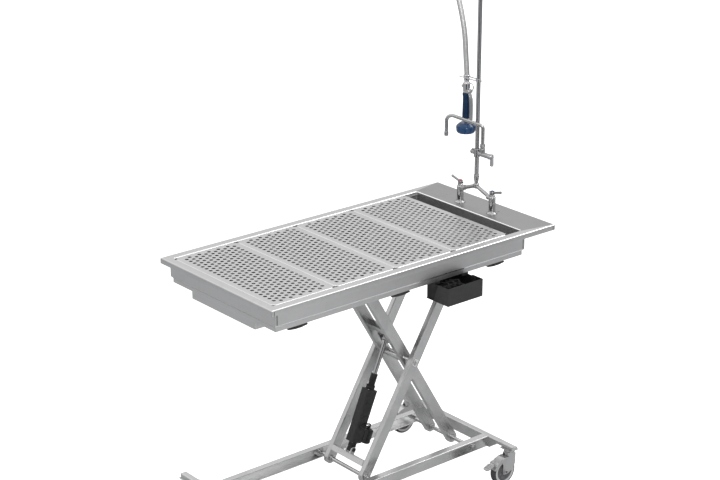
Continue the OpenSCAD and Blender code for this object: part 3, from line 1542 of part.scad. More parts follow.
module spray_frame() {
    faucet_frame() translate([0, spray_y, 0]) children();
}
module spray_valve() {
    color(chrome_c) spray_frame() {
        rotate_extrude() polygon([
            [0, valve_top], [neck_r, valve_top], [neck_r, neck_z1], [neck_waist_r, waist_z],
            [head_r, head_z1], [head_r, head_z0 + trigger_lug_h], [neck_r, head_z0], [0, head_z0],
        ]);
        translate([0, 0, knob_z]) bar_y(knob_r, 0, knob_out);
        translate([0, 0, knob_z]) bar_y(knob_r - trigger_pin_r, 0, knob_out + trigger_pin_r);
        translate([0, loop_y, knob_z + trigger_pin_r]) rotate([quarter_turn, 0, quarter_turn])
            rotate_extrude() translate([keeper_r, 0]) circle(r = keeper_wire);
        translate([0, trigger_y, trigger_z]) {
            for (x = [-trigger_w / 2 - side_gap - trigger_lug_t, trigger_w / 2 + side_gap])
                block(x, x + trigger_lug_t, -trigger_lug_out, -trigger_y - trigger_lug_in,
                    -trigger_lug_h, trigger_lug_h);
            bar_x(trigger_pin_r, -trigger_w / 2 - side_gap - trigger_lug_t, trigger_w / 2 + side_gap + trigger_lug_t);
        }
    }
}
module spray_grip() {
    color(blue_c) spray_frame() rotate_extrude() polygon([
        [0, head_z0], [grip_flange_r, head_z0], [grip_flange_r, head_z0 - grip_flange_h],
        [grip_r1, head_z0 - grip_flange_h - grip_round], [grip_r0, grip_z0 + grip_round],
        [grip_r0 - grip_round, grip_z0], [0, grip_z0],
    ]);
    color(chrome_c) spray_frame() bar_z(stalk_r, bumper_z1, grip_z0);
}
module spray_trigger() {
    color(chrome_c) spray_frame() translate([0, trigger_y, trigger_z]) rotate([-trigger_tilt, 0, 0]) difference() {
        union() {
            bar_x(trigger_hub_r, -trigger_w / 2, trigger_w / 2);
            block(-trigger_w / 2, trigger_w / 2, -trigger_t / 2, trigger_t / 2, -trigger_l, 0);
            translate([0, 0, -trigger_l]) bar_x(trigger_t, -trigger_w / 2, trigger_w / 2);
        }
        bar_x(trigger_pin_r + run_gap, -trigger_w / 2 - cut, trigger_w / 2 + cut);
    }
}
module spray_bumper() {
    wide_z = bumper_z0 + (bumper_z1 - bumper_z0) * bumper_wide_share;
    color(blue_c) spray_frame() rotate_extrude() polygon([
        [0, bumper_z1], [stalk_r + grip_round, bumper_z1], [bumper_top_r, bumper_z1 - cut],
        [bumper_r - cut, wide_z + grip_round], [bumper_r, wide_z], [bumper_foot_r + cut, bumper_z0 + grip_round],
        [bumper_foot_r - grip_round, bumper_z0], [face_r + cut, bumper_z0], [face_r, bumper_z0 + face_in],
        [0, bumper_z0 + face_in],
    ]);
}

// The frame stands midway between the front of the control box and the back of the top
module placed() {
    translate([0, (box_front - top_w / 2) / 2, 0]) children();
}

placed() tub();
placed() skirt();
placed() support_frame();
placed() tray(0);  // tray_1
placed() tray(1);  // tray_2
placed() tray(2);  // tray_3
placed() tray(3);  // tray_4
placed() drain();
placed() tie_down_cleats();
placed() lift_channel_front();
placed() lift_channel_back();
placed() lift_channel_caps();
placed() upper_axle();
placed() control_box();
placed() power_supply();
placed() hot_valve();
placed() cold_valve();
placed() hot_lever();
placed() cold_lever();
placed() faucet_yoke();
placed() riser_coupling();
placed() riser_pipe();
placed() add_on_faucet();
placed() swing_nozzle();
placed() nozzle_lever();
placed() hose_hook();
placed() overhead_spring();
placed() spray_hose();
placed() spray_valve();
placed() spray_grip();
placed() spray_trigger();
placed() spray_bumper();
placed() outer_leg_front();
placed() outer_leg_back();
placed() outer_cross_member();
placed() centre_axle();
placed() lower_rollers();
placed() inner_leg_front();
placed() inner_leg_back();
placed() inner_cross_bar();
placed() upper_rollers();
placed() actuator_housing();
placed() actuator_motor();
placed() actuator_rod();
placed() base_rail_front();
placed() base_rail_back();
placed() cross_member_left();
placed() cross_member_right();
placed() lower_axle();
placed() caster_plates();
placed() caster_fork_1();
placed() caster_fork_2();
placed() caster_fork_3();
placed() caster_fork_4();
placed() caster_wheel_1();
placed() caster_wheel_2();
placed() caster_wheel_3();
placed() caster_wheel_4();
placed() brake_pedal_1();
placed() brake_pedal_2();
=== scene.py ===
"""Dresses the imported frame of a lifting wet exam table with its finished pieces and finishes.

Sizes in the builders below are millimetres from the middle of the table, X towards the faucet and
Z up from the floor. settle() brings them into the frame in metres."""

import math

import bmesh
import bpy
from bpy.props import FloatProperty, FloatVectorProperty, IntProperty, PointerProperty
from mathutils import Matrix, Vector
from mathutils.geometry import tessellate_polygon


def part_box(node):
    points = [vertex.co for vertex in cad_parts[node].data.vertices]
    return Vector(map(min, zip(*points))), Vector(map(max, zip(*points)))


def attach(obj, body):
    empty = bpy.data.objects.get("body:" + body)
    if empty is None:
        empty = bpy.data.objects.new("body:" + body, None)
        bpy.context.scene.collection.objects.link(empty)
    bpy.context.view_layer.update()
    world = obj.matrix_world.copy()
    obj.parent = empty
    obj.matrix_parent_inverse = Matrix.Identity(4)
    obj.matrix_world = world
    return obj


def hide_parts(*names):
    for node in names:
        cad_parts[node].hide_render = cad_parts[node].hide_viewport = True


bl_info = {
    "name": "Lifting exam table",
    "version": (1, 0, 0),
    "blender": (4, 5, 0),
    "location": "View3D > Sidebar > Exam table",
    "description": "Builds the finished pieces and finishes of a lifting wet exam table",
    "category": "Object",
}

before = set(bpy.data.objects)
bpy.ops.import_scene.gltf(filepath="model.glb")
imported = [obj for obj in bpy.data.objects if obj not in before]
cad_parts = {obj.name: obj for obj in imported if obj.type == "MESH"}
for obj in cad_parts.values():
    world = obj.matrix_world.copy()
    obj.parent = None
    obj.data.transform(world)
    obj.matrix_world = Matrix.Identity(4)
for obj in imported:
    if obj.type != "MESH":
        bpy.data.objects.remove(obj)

MM = 0.001
TO_FRAME = Vector((0.0, 27.5, 0.0))
TURN = 2 * math.pi

# Heights and places that the pieces share
DECK_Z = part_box("tub")[1].z / MM
TOP_L = 1524.0
TOP_W = 750.0
TUB_LEFT = -TOP_L / 2 + 38
TUB_RIGHT = TOP_L / 2 - 164
TUB_SIDE = TOP_W / 2 - 42
TRAY_PITCH = 312
FAUCET = Vector((TOP_L / 2 - 108, 6.0, DECK_Z))
LEG_ANGLE = math.radians(59)
LEG_LEN = 1060.0
PIVOT_X = 458.0
PIVOT_LOW = 150.0
ROLLER_X = PIVOT_X - LEG_LEN * math.cos(LEG_ANGLE)
RAIL_Y = 212.0
RAIL_TOP = 175.0
CROSS_LEFT = -689.0
CROSS_RIGHT = 566.0
SHARP = math.radians(32)


def settle(point):
    """A point in millimetres from the table's middle, as a point of the frame in metres."""
    return (Vector(point) + TO_FRAME) * MM


# ---------------------------------------------------------------- outlines

def polar(radius, angle, centre=(0, 0)):
    """The point at a distance and an angle from a centre."""
    return Vector((centre[0] + radius * math.cos(angle), centre[1] + radius * math.sin(angle)))


def fillet(points, radius, steps=3, closed=True):
    """The outline with each corner rounded to the radius, or to a radius of its own."""
    made = []
    for i, point in enumerate(points):
        p = Vector(point)
        r = radius[i] if isinstance(radius, (list, tuple)) else radius
        a, b = Vector(points[i - 1]) - p, Vector(points[(i + 1) % len(points)]) - p
        is_end = not closed and i in (0, len(points) - 1)
        if r <= 0 or is_end or min(a.length, b.length) < 1e-6 or a.angle(b) / 2 > math.radians(88):
            made.append(p)
            continue
        half = a.angle(b) / 2
        reach = min(r / math.tan(half), 0.48 * a.length, 0.48 * b.length)
        r = reach * math.tan(half)
        middle = p + (a.normalized() + b.normalized()).normalized() * (r / math.sin(half))
        start, end = p + a.normalized() * reach - middle, p + b.normalized() * reach - middle
        made += [middle + start.lerp(end, k / steps).normalized() * r for k in range(steps + 1)]
    return made


def area_of(outline):
    """Signed area, positive where the outline runs anticlockwise."""
    return sum(outline[i - 1][0] * outline[i][1] - outline[i][0] * outline[i - 1][1]
               for i in range(len(outline))) / 2


def inset(outline, depth):
    """The closed outline moved inwards by the depth, corner by corner."""
    if abs(depth) < 1e-9:
        return [Vector(p) for p in outline]
    side = 1 if area_of(outline) > 0 else -1
    made = []
    for i, p in enumerate(outline):
        before = Vector(p) - Vector(outline[i - 1])
        after = Vector(outline[(i + 1) % len(outline)]) - Vector(p)
        n1 = Vector((-before.y, before.x)).normalized() * side
        n2 = Vector((-after.y, after.x)).normalized() * side
        made.append(Vector(p) + (n1 + n2) * depth / max(1 + n1.dot(n2), 0.3))
    return made


def rounded_box_outline(u0, u1, v0, v1, radius, steps=3):
    """A rectangle with rounded corners."""
    return fillet([(u0, v0), (u1, v0), (u1, v1), (u0, v1)], radius, steps)


def stadium(u0, u1, radius, steps):
    """A bar outline with round ends, from u0 to u1 between the end centres."""
    ends = ((u1, -math.pi / 2), (u0, math.pi / 2))
    return [polar(radius, start + math.pi * k / steps, (u, 0)) for u, start in ends for k in range(steps + 1)]


def circle(centre, radius, count=32):
    """Points evenly round a circle."""
    return [polar(radius, TURN * k / count, centre) for k in range(count)]


def arc(centre, radius, first, last, steps):
    """Points along an arc between two angles in degrees."""
    return [polar(radius, math.radians(first + (last - first) * k / steps), centre) for k in range(steps + 1)]


SPREAD = {
    "xy": lambda u, v, w: (u, v, w),
    "xz": lambda u, v, w: (u, w, v),
    "yz": lambda u, v, w: (w, u, v),
}


# ---------------------------------------------------------------- solids

class Shape:
    """Closed solids that are gathered into one mesh, each with the number of its finish."""

    def __init__(self):
        self.verts, self.faces, self.marks = [], [], []

    def add(self, verts, faces, matrix=None, mark=0):
        """Adds points and faces, moved by the matrix."""
        base = len(self.verts)
        self.verts += [matrix @ Vector(v) if matrix is not None else Vector(v) for v in verts]
        self.faces += [[base + i for i in f] for f in faces]
        self.marks += [mark] * len(faces)

    def rings(self, rings, matrix=None, mark=0, cyclic=False, caps=True):
        """Joins rings of as many points each, and closes the ends with a face."""
        n = len(rings[0])
        verts = [p for ring in rings for p in ring]
        faces = []
        for i in range(len(rings) if cyclic else len(rings) - 1):
            j = (i + 1) % len(rings)
            for k in range(n):
                m = (k + 1) % n
                faces.append([i * n + k, i * n + m, j * n + m, j * n + k])
        if caps and not cyclic:
            faces.append(list(range(n - 1, -1, -1)))
            faces.append([(len(rings) - 1) * n + k for k in range(n)])
        self.add(verts, faces, matrix, mark)

    def slab(self, outline, low, high, edge, plane="xz", matrix=None, mark=0, steps=3):
        """An outline drawn out between two levels, its edges rounded."""
        turns = [math.pi / 2 * k / steps for k in range(steps + 1)]
        levels = [(edge * (1 - math.sin(a)), low + edge * (1 - math.cos(a))) for a in turns]
        levels += [(edge * (1 - math.sin(a)), high - edge * (1 - math.cos(a))) for a in reversed(turns)]
        spread = SPREAD[plane]
        self.rings([[spread(p.x, p.y, w) for p in inset(outline, depth)] for depth, w in levels], matrix, mark)

    def box(self, x0, x1, y0, y1, z0, z1, edge=0.6, matrix=None, mark=0, steps=2):
        """A block with all its edges rounded."""
        self.slab(rounded_box_outline(x0, x1, y0, y1, edge, steps), z0, z1, edge, "xy", matrix, mark, steps)

    def lathe(self, profile, matrix=None, mark=0, count=40, edge=0.0, steps=2, closed=False):
        """A profile of radius and height turned round Z. It closes on the axis, or on itself."""
        points = fillet(profile, edge, steps, closed) if edge else [Vector(p) for p in profile]
        verts, rings, faces = [], [], []
        for p in points:
            start, tip = len(verts), p.x < 1e-6 and not closed
            rings.append([start] * count if tip else list(range(start, start + count)))
            verts += [(0, 0, p.y)] if tip else [(*polar(p.x, TURN * k / count), p.y) for k in range(count)]
        for a, b in zip(rings, rings[1:] + rings[:1] if closed else rings[1:]):
            for k in range(count):
                m = (k + 1) % count
                corners = list(dict.fromkeys((a[k], a[m], b[m], b[k])))
                if len(corners) > 2:
                    faces.append(corners)
        self.add(verts, faces, matrix, mark)

    def bar(self, at, axis, radius, low, high, edge=0.5, mark=0, count=32):
        """A round bar along an axis of a frame, its two rims rounded."""
        self.lathe([(0, low), (radius, low), (radius, high), (0, high)], turned(at, axis), mark, count, edge)

    def sleeve(self, at, axis, bore, radius, low, high, edge, count=40):
        """A tube along an axis of a frame, its rims rounded."""
        profile = [(bore, low), (radius, low), (radius, high), (bore, high)]
        self.lathe(profile, turned(at, axis), 0, count, edge, closed=True)

    def nut(self, at, axis, across, low, high, edge=0.7, mark=0):
        """A hexagon nut with rounded corners, across its flats."""
        outline = fillet(circle((0, 0), across / math.sqrt(3), 6), 1.2, 3)
        self.slab(outline, low, high, edge, "xy", turned(at, axis), mark)

    def tube(self, points, radius, count=16, matrix=None, ends=0.35):
        """A round bar along a line, with softly rounded ends."""
        line = [Vector(p) for p in points]
        radii = list(radius) if isinstance(radius, (list, tuple)) else [radius] * len(line)
        for _ in range(2 if ends else 0):
            tip, near, r = line[0], line[1], radii[0]
            inner = tip + (near - tip).normalized() * min(r * ends, (near - tip).length * 0.5)
            line[0:1] = [tip, tip.lerp(inner, 0.35), inner]
            radii[0:1] = [r * (1 - ends), r * (1 - ends * 0.3), r]
            line.reverse()
            radii.reverse()
        rings = []
        way = (line[1] - line[0]).normalized()
        side = way.orthogonal().normalized()
        for i, p in enumerate(line):
            new_way = (line[min(i + 1, len(line) - 1)] - line[max(i - 1, 0)]).normalized()
            side = (way.rotation_difference(new_way) @ side).normalized()
            side = (side - new_way * side.dot(new_way)).normalized()
            way = new_way
            up = way.cross(side)
            rings.append([p + radii[i] * (side * math.cos(TURN * k / count) + up * math.sin(TURN * k / count))
                          for k in range(count)])
        self.rings(rings, matrix)

    def sheet(self, outline, holes, low, high, edges, plane="xy", matrix=None, mark=0, steps=2):
        """A flat sheet with holes through it. The outline and each hole have an eased edge of their own."""
        spread = SPREAD[plane]
        loops = [outline] + holes
        eased = list(edges) + [edges[-1]] * (len(loops) - len(edges))
        turns = [k / steps for k in range(steps + 1)]
        levels = [(t, low, 1) for t in turns] + [(t, high, -1) for t in reversed(turns)]
        verts, faces, flats = [], [], []
        for t, level, way in levels:
            drawn = []
            for i, loop in enumerate(loops):
                depth = eased[i] * (1 - math.sin(t * math.pi / 2))
                w = level + way * eased[i] * (1 - math.cos(t * math.pi / 2))
                moved = inset(loop, depth if i == 0 else -depth)
                drawn.append([(p.x, p.y, 0) for p in moved])
                verts += [spread(p.x, p.y, w) for p in moved]
            flats.append(drawn)
        total, first = sum(len(loop) for loop in loops), 0
        for loop in loops:
            size = len(loop)
            for i in range(len(levels) - 1):
                a, b = i * total + first, (i + 1) * total + first
                faces += [[a + k, a + (k + 1) % size, b + (k + 1) % size, b + k] for k in range(size)]
            first += size
        flat = tessellate_polygon(flats[0])
        top = (len(levels) - 1) * total
        faces += [list(f) for f in flat]
        faces += [[top + i for i in reversed(f)] for f in flat]
        self.add(verts, faces, matrix, mark)


def modify(made, label, kind, **settings):
    """Adds a modifier and sets its options."""
    added = made.modifiers.new(label, kind)
    for name, value in settings.items():
        setattr(added, name, value)


def piece(name, shape, finishes, body, stands_for=None, weighted=True):
    """Makes the object of a shape on its body. It stands for the solid of its name, or for another one."""
    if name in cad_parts:
        name, stands_for = f"{name}_finished", name
    mesh = bpy.data.meshes.new(name)
    mesh.from_pydata([settle(v) for v in shape.verts], [], shape.faces)
    mesh.polygons.foreach_set("material_index", shape.marks)
    work = bmesh.new()
    work.from_mesh(mesh)
    bmesh.ops.recalc_face_normals(work, faces=work.faces)
    work.to_mesh(mesh)
    work.free()
    mesh.shade_smooth()
    mesh.set_sharp_from_angle(angle=SHARP)
    for finish in finishes if isinstance(finishes, (list, tuple)) else [finishes]:
        mesh.materials.append(finish_of(finish))
    made = bpy.data.objects.new(name, mesh)
    bpy.context.scene.collection.objects.link(made)
    if weighted:
        modify(made, "Even shading", "WEIGHTED_NORMAL", keep_sharp=True)
    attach(made, body)
    if stands_for:
        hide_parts(stands_for)
    return made


def dress(node, finish, edge):
    """Keeps a solid of the frame, eases its edges and gives it a finish."""
    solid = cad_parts[node]
    solid.data.materials.clear()
    solid.data.materials.append(finish_of(finish))
    solid.data.shade_smooth()
    modify(solid, "Join faces", "WELD", merge_threshold=1e-6)
    modify(solid, "Flat faces", "DECIMATE", decimate_type="DISSOLVE", angle_limit=math.radians(1.5))
    modify(solid, "Eased edges", "BEVEL", width=edge * MM, segments=2, limit_method="ANGLE",
           angle_limit=math.radians(40), use_clamp_overlap=True, harden_normals=False, miter_outer="MITER_ARC")
    modify(solid, "Even shading", "WEIGHTED_NORMAL", keep_sharp=True)


def move(x, y, z):
    """A shift, as a matrix."""
    return Matrix.Translation((x, y, z))


def rotate(degrees, axis):
    """A turn about an axis, as a matrix."""
    return Matrix.Rotation(math.radians(degrees), 4, axis)


def turned(at, axis):
    """The frame with its Z laid along another axis."""
    return at @ {"z": rotate(0, "X"), "y": rotate(-90, "X"), "x": rotate(90, "Y"), "-y": rotate(90, "X")}[axis]


# ---------------------------------------------------------------- finishes

def feed(tree, made, inputs):
    """Sets the inputs of a node, links included."""
    for name, value in inputs.items():
        if isinstance(value, bpy.types.NodeSocket):
            tree.links.new(value, made.inputs[name])
        else:
            made.inputs[name].default_value = value
    return made


def node(tree, kind, inputs=None, **settings):
    """Adds a shader node, sets its options and its inputs."""
    made = tree.nodes.new(kind)
    for name, value in settings.items():
        setattr(made, name, value)
    return feed(tree, made, inputs or {})


def reckon(tree, operation, *values, kind="ShaderNodeMath", **settings):
    """The result of a Math node."""
    return node(tree, kind, dict(enumerate(values)), operation=operation, **settings).outputs[0]


def noise(tree, vector, scale, detail, **inputs):
    """The value of a noise texture."""
    return node(tree, "ShaderNodeTexNoise", {"Vector": vector, "Scale": scale, "Detail": detail,
                                             **inputs}).outputs["Fac"]


def remap(tree, value, settings, **options):
    """The value brought from one range to another."""
    return node(tree, "ShaderNodeMapRange", {"Value": value, **settings}, **options).outputs[0]


def blend_colour(tree, amount, low, high):
    """A colour between two others."""
    return feed(tree, node(tree, "ShaderNodeMix", data_type="RGBA"), {0: amount, 6: low, 7: high}).outputs[2]


def new_group(name, inputs, make):
    """A shader group with its sockets. The rule says what each output is, from the outputs of the start node."""
    group = bpy.data.node_groups.new(name, "ShaderNodeTree")
    for label, value in inputs.items():
        kind = "NodeSocketFloat" if isinstance(value, float) else "NodeSocketVector"
        socket = group.interface.new_socket(label, in_out="INPUT", socket_type=kind)
        if value is not None:
            socket.default_value = value
    results = make(group, group.nodes.new("NodeGroupInput").outputs)
    for label in results:
        group.interface.new_socket(label, in_out="OUTPUT", socket_type="NodeSocketFloat")
    feed(group, group.nodes.new("NodeGroupOutput"), results)
    return group


def belt_grain(group, given):
    """Fine lines left by the finishing belt, drawn out along one direction."""
    stretch = node(group, "ShaderNodeCombineXYZ", {"X": given["Along"], "Y": given["Across"], "Z": given["Across"]})
    turned_in = node(group, "ShaderNodeVectorRotate", {"Vector": given["Vector"], "Rotation": given["Turn"]},
                     rotation_type="EULER_XYZ")
    drawn = reckon(group, "MULTIPLY", turned_in.outputs[0], stretch.outputs[0], kind="ShaderNodeVectorMath")
    wide = reckon(group, "MULTIPLY", drawn, (0.35, 0.06, 0.06), kind="ShaderNodeVectorMath")
    return {"Lines": noise(group, drawn, 1.0, 3.0, Roughness=0.6), "Bands": noise(group, wide, 1.0, 2.0)}


def wiping_marks(group, given):
    """Cloudy marks of wiping and dried water."""
    cloud = noise(group, given["Vector"], given["Scale"], 5.0, Roughness=0.55, Distortion=0.6)
    limits = {"From Min": 0.42, "From Max": 0.72, "To Max": given["Amount"]}
    return {"Mask": remap(group, cloud, limits, interpolation_type="SMOOTHSTEP")}


def moulded_grain(group, given):
    """Small even bumps of powder coat, moulded plastic or rubber."""
    cells = node(group, "ShaderNodeTexVoronoi", {"Vector": given["Vector"], "Scale": given["Scale"]},
                 feature="SMOOTH_F1")
    both = reckon(group, "ADD", cells.outputs["Distance"], noise(group, given["Vector"], given["Scale"], 2.0))
    return {"Height": reckon(group, "MULTIPLY", both, given["Depth"]),
            "Patches": noise(group, given["Vector"], 14.0, 4.0)}


def worn_edges(group, given):
    """Worn corners, and grime with painted shade in hollows, from how sharply the surface turns."""
    shift = reckon(group, "SUBTRACT", noise(group, given["Vector"], given["Break up"], 3.0), 0.5)
    sharp = node(group, "ShaderNodeNewGeometry").outputs["Pointiness"]
    small = reckon(group, "MULTIPLY_ADD", shift, 0.04, sharp)
    top = reckon(group, "ADD", given["Reach"], 0.5)
    return {"Edge": remap(group, small, {"From Min": 0.505, "From Max": top}),
            "Hollow": remap(group, small, {"From Min": 0.495, "From Max": 0.44})}


def hose_rings(group, given):
    """Rings along a length, as on a wound or corrugated hose."""
    wave = node(group, "ShaderNodeTexWave", {"Vector": given["Vector"], "Scale": given["Pitch"], "Distortion": 0.2},
                wave_type="BANDS", bands_direction="Z")
    return {"Height": wave.outputs["Fac"]}


# Each shared effect: its rule and its inputs
EFFECTS = {
    "Belt grain": (belt_grain, {"Vector": None, "Along": 6.0, "Across": 900.0, "Turn": (0.0, 0.0, 0.0)}),
    "Wiping marks": (wiping_marks, {"Vector": None, "Scale": 7.0, "Amount": 1.0}),
    "Moulded grain": (moulded_grain, {"Vector": None, "Scale": 900.0, "Depth": 1.0}),
    "Worn edges": (worn_edges, {"Vector": None, "Reach": 0.06, "Break up": 60.0}),
    "Hose rings": (hose_rings, {"Vector": None, "Pitch": 700.0}),
}


def effect(tree, name, inputs):
    """Places a shared effect in a finish."""
    make, sockets = EFFECTS[name]
    group = bpy.data.node_groups.get(name) or new_group(name, sockets, make)
    return node(tree, "ShaderNodeGroup", inputs, node_tree=group).outputs


def tone(colour, factor):
    """The colour made lighter or darker."""
    return tuple(c * factor for c in colour)


def shade(colour, factor):
    """The same, as a shader's colour with its alpha."""
    return (*tone(colour, factor), 1.0)


def new_finish(name, inputs):
    """An empty finish: its tree, its surface shader and the place on the object."""
    finish = bpy.data.materials.new(name)
    finish.use_nodes = True
    tree = finish.node_tree
    surface = feed(tree, tree.nodes["Principled BSDF"], inputs)
    return finish, tree, surface, node(tree, "ShaderNodeTexCoord").outputs["Object"]


def raised(tree, height, strength, distance):
    """The normal of a bumpy surface."""
    return node(tree, "ShaderNodeBump", {"Height": height, "Strength": strength, "Distance": distance}).outputs[0]


def metal(name, colour, rough, grain=0.0, along=6.0, across=900.0, turn=(0, 0, 0), smudge=0.1, bump=0.02,
          contrast=0.12, rim=0.75):
    """A metal finish with belt lines, wiping marks and brighter corners."""
    finish, tree, surface, where = new_finish(name, {"Metallic": 1.0, "Specular Tint": (rim, rim, rim, 1.0)})
    marks = effect(tree, "Wiping marks", {"Vector": where, "Scale": 6.0})["Mask"]
    worn = effect(tree, "Worn edges", {"Vector": where})["Edge"]
    lines = effect(tree, "Belt grain", {"Vector": where, "Along": along, "Across": across, "Turn": turn})
    base = blend_colour(tree, lines["Bands"], shade(colour, 1 - contrast), shade(colour, 1 + contrast * 0.6))
    fine = blend_colour(tree, lines["Lines"], shade(colour, 1 - grain), shade(colour, 1 + grain))
    dulled = blend_colour(tree, marks, blend_colour(tree, 0.5, base, fine), shade(colour, 1 - smudge))
    final = blend_colour(tree, reckon(tree, "MULTIPLY", worn, 0.5), dulled, shade(colour, 1.25))
    spread = remap(tree, lines["Lines"], {"To Min": rough * 0.85, "To Max": rough * 1.2})
    dull = reckon(tree, "MULTIPLY_ADD", marks, smudge, spread, use_clamp=True)
    feed(tree, surface, {"Base Color": final, "Roughness": dull})
    if bump:
        feed(tree, surface, {"Normal": raised(tree, lines["Lines"], bump, 0.0004)})
    return finish


def moulded(name, colour, rough, scale=900.0, bump=0.25, coat=0.0, patch=0.12, glaze=0.25, level=0.3):
    """Plastic, rubber or powder coat: a fine grain, uneven gloss, paler worn corners, and grime with painted shade in
    hollows.
    """
    finish, tree, surface, where = new_finish(
        name, {"Coat Weight": coat, "Coat Roughness": glaze, "Specular IOR Level": level})
    grain = effect(tree, "Moulded grain", {"Vector": where, "Scale": scale})
    worn = effect(tree, "Worn edges", {"Vector": where, "Reach": 0.08})
    marks = effect(tree, "Wiping marks", {"Vector": where, "Scale": 11.0})["Mask"]
    base = blend_colour(tree, grain["Patches"], shade(colour, 1 - patch), shade(colour, 1 + patch))
    # Darker in the hollows: grime with painted shade.
    grimed_and_shaded = blend_colour(tree, reckon(tree, "MULTIPLY", worn["Hollow"], 0.35), base, shade(colour, 0.7))
    pale = tuple(c * 0.75 + 0.25 * 0.55 for c in colour) + (1.0,)
    feed(tree, surface, {
        "Base Color": blend_colour(tree, reckon(tree, "MULTIPLY", worn["Edge"], 0.25), grimed_and_shaded, pale),
        "Roughness": remap(tree, marks, {"To Min": rough, "To Max": min(rough + 0.15, 1.0)}),
        "Normal": raised(tree, grain["Height"], bump, 0.0003)})
    return finish


def hose_finish(name, colour, rough):
    """Pale steel hose, ringed along its length."""
    finish = metal(name, colour, rough, grain=0.05, smudge=0.08, bump=0.0)
    tree = finish.node_tree
    rings = effect(tree, "Hose rings", {"Vector": node(tree, "ShaderNodeTexCoord").outputs["Object"],
                                        "Pitch": 60.0})
    feed(tree, tree.nodes["Principled BSDF"], {"Normal": raised(tree, rings["Height"], 0.35, 0.0008)})
    return finish


def looks():
    """The colours and gloss that the user set."""
    return bpy.context.scene.exam_finishes


TUBE_GRAIN = {"grain": 0.08, "contrast": 0.18, "smudge": 0.14}

# Each finish: its maker, the name of its colour or the colour, how much lighter, how rough, and its options
FINISHES = {
    "Panel steel": (metal, "steel", 1, None, {"grain": 0.10, "bump": 0.05, "contrast": 0.05}),
    "Deck steel": (metal, "deck", 1, None, {"grain": 0.10, "bump": 0.05, "contrast": 0.05}),
    "Basin steel": (metal, "basin", 1, 0.38, {"grain": 0.10, "bump": 0.05, "contrast": 0.10}),
    # Darker copy of the basin steel for the tub's floor and ledges: painted shade under the trays.
    "Sump steel": (metal, "basin", 0.58, 0.42, {"grain": 0.10, "bump": 0.05, "contrast": 0.12}),
    # Also on the rim's top and the ends of the skirt's foot, where it is painted light.
    "Tray steel": (metal, "tray", 1, 0.30, {"grain": 0.08, "bump": 0.04, "contrast": 0.05}),
    "Outer leg steel": (metal, "leg", 1, 0.27, {**TUBE_GRAIN, "turn": (0, LEG_ANGLE, 0)}),
    "Inner leg steel": (metal, "leg", 1, 0.27, {**TUBE_GRAIN, "turn": (0, math.pi - LEG_ANGLE, 0)}),
    "Base steel": (metal, "leg", 1, 0.25, {"grain": 0.08, "contrast": 0.16, "smudge": 0.14}),
    # Lighter steel for the inside of the rails: painted light where the top flange shades them.
    "Base inside steel": (metal, (0.95, 0.95, 0.95), 1, 0.30, {"grain": 0.08, "contrast": 0.10, "smudge": 0.10}),
    "Cross steel": (metal, "leg", 1, 0.25, {**TUBE_GRAIN, "turn": (0, 0, math.pi / 2)}),
    "Zinc plate": (metal, "zinc", 1, 0.30,
                   {"grain": 0.05, "along": 40, "across": 60, "contrast": 0.14, "smudge": 0.16}),
    "Bright zinc": (metal, (0.92, 0.92, 0.92), 1, 0.34,
                    {"grain": 0.05, "along": 40, "across": 60, "contrast": 0.06, "smudge": 0.08}),
    # Near-white steel for the folds: a painted highlight along them.
    "Bright fold": (metal, (0.97, 0.97, 0.97), 1, 0.24,
                    {"grain": 0.04, "contrast": 0.03, "smudge": 0.05, "rim": 1.0}),
    "Turned steel": (metal, "zinc", 1, 0.22, {"grain": 0.06, "along": 300, "across": 40, "contrast": 0.08}),
    "Chrome": (metal, "chrome", 1, 0.07,
               {"rim": 0.45, "grain": 0.015, "along": 30, "across": 30, "contrast": 0.03, "smudge": 0.06,
                "bump": 0.0}),
    "Dark chrome": (metal, "chrome", 0.55, 0.16,
                    {"rim": 0.4, "grain": 0.03, "along": 50, "across": 50, "contrast": 0.05, "smudge": 0.1,
                     "bump": 0.0}),
    "Satin chrome": (metal, "chrome", 0.78, 0.16,
                     {"rim": 0.45, "grain": 0.03, "along": 60, "across": 60, "contrast": 0.05, "smudge": 0.08}),
    "Hose steel": (hose_finish, "hose", 1, 0.40, {}),
    "Black coat": (moulded, "coat", 1, 0.42, {"scale": 1100.0, "bump": 0.35, "coat": 0.03}),
    "Black plastic": (moulded, "plastic", 1, 0.38, {"scale": 1400.0, "bump": 0.2, "patch": 0.10}),
    "Dull black": (moulded, "inside", 1, 0.6, {"scale": 800.0, "bump": 0.2}),
    "Blue rubber": (moulded, "blue", 1.05, 0.30,
                    {"scale": 500.0, "bump": 0.05, "coat": 0.7, "patch": 0.10, "glaze": 0.06, "level": 0.2}),
    "Blue grip": (moulded, "blue", 0.5, 0.34, {"scale": 500.0, "bump": 0.14, "patch": 0.12}),
    "Grey tyre": (moulded, "tyre", 1, 0.62, {"scale": 700.0, "bump": 0.3}),
    "Wheel nylon": (moulded, "nylon", 1, 0.45, {"scale": 900.0, "bump": 0.2}),
    "Pale nylon": (moulded, "ring", 1, 0.40, {"scale": 900.0, "bump": 0.1, "patch": 0.08}),
    "Red index": (moulded, "red", 1, 0.32, {"scale": 600.0, "bump": 0.08, "coat": 0.3}),
    "Blue index": (moulded, "index_blue", 1, 0.32, {"scale": 600.0, "bump": 0.08, "coat": 0.3}),
}


def finish_of(name):
    """The finish of that name, made the first time it is asked for."""
    made = bpy.data.materials.get(name)
    if made is None:
        maker, colour, factor, rough, options = FINISHES[name]
        colour = getattr(looks(), colour) if isinstance(colour, str) else colour
        rough = looks().steel_rough if rough is None else rough
        made = maker(name, tone(colour, factor), rough, **options)
    return made


def colour_property(name, description, value):
    return FloatVectorProperty(name=name, description=description, subtype="COLOR", size=3, min=0, max=1,
                               default=value)


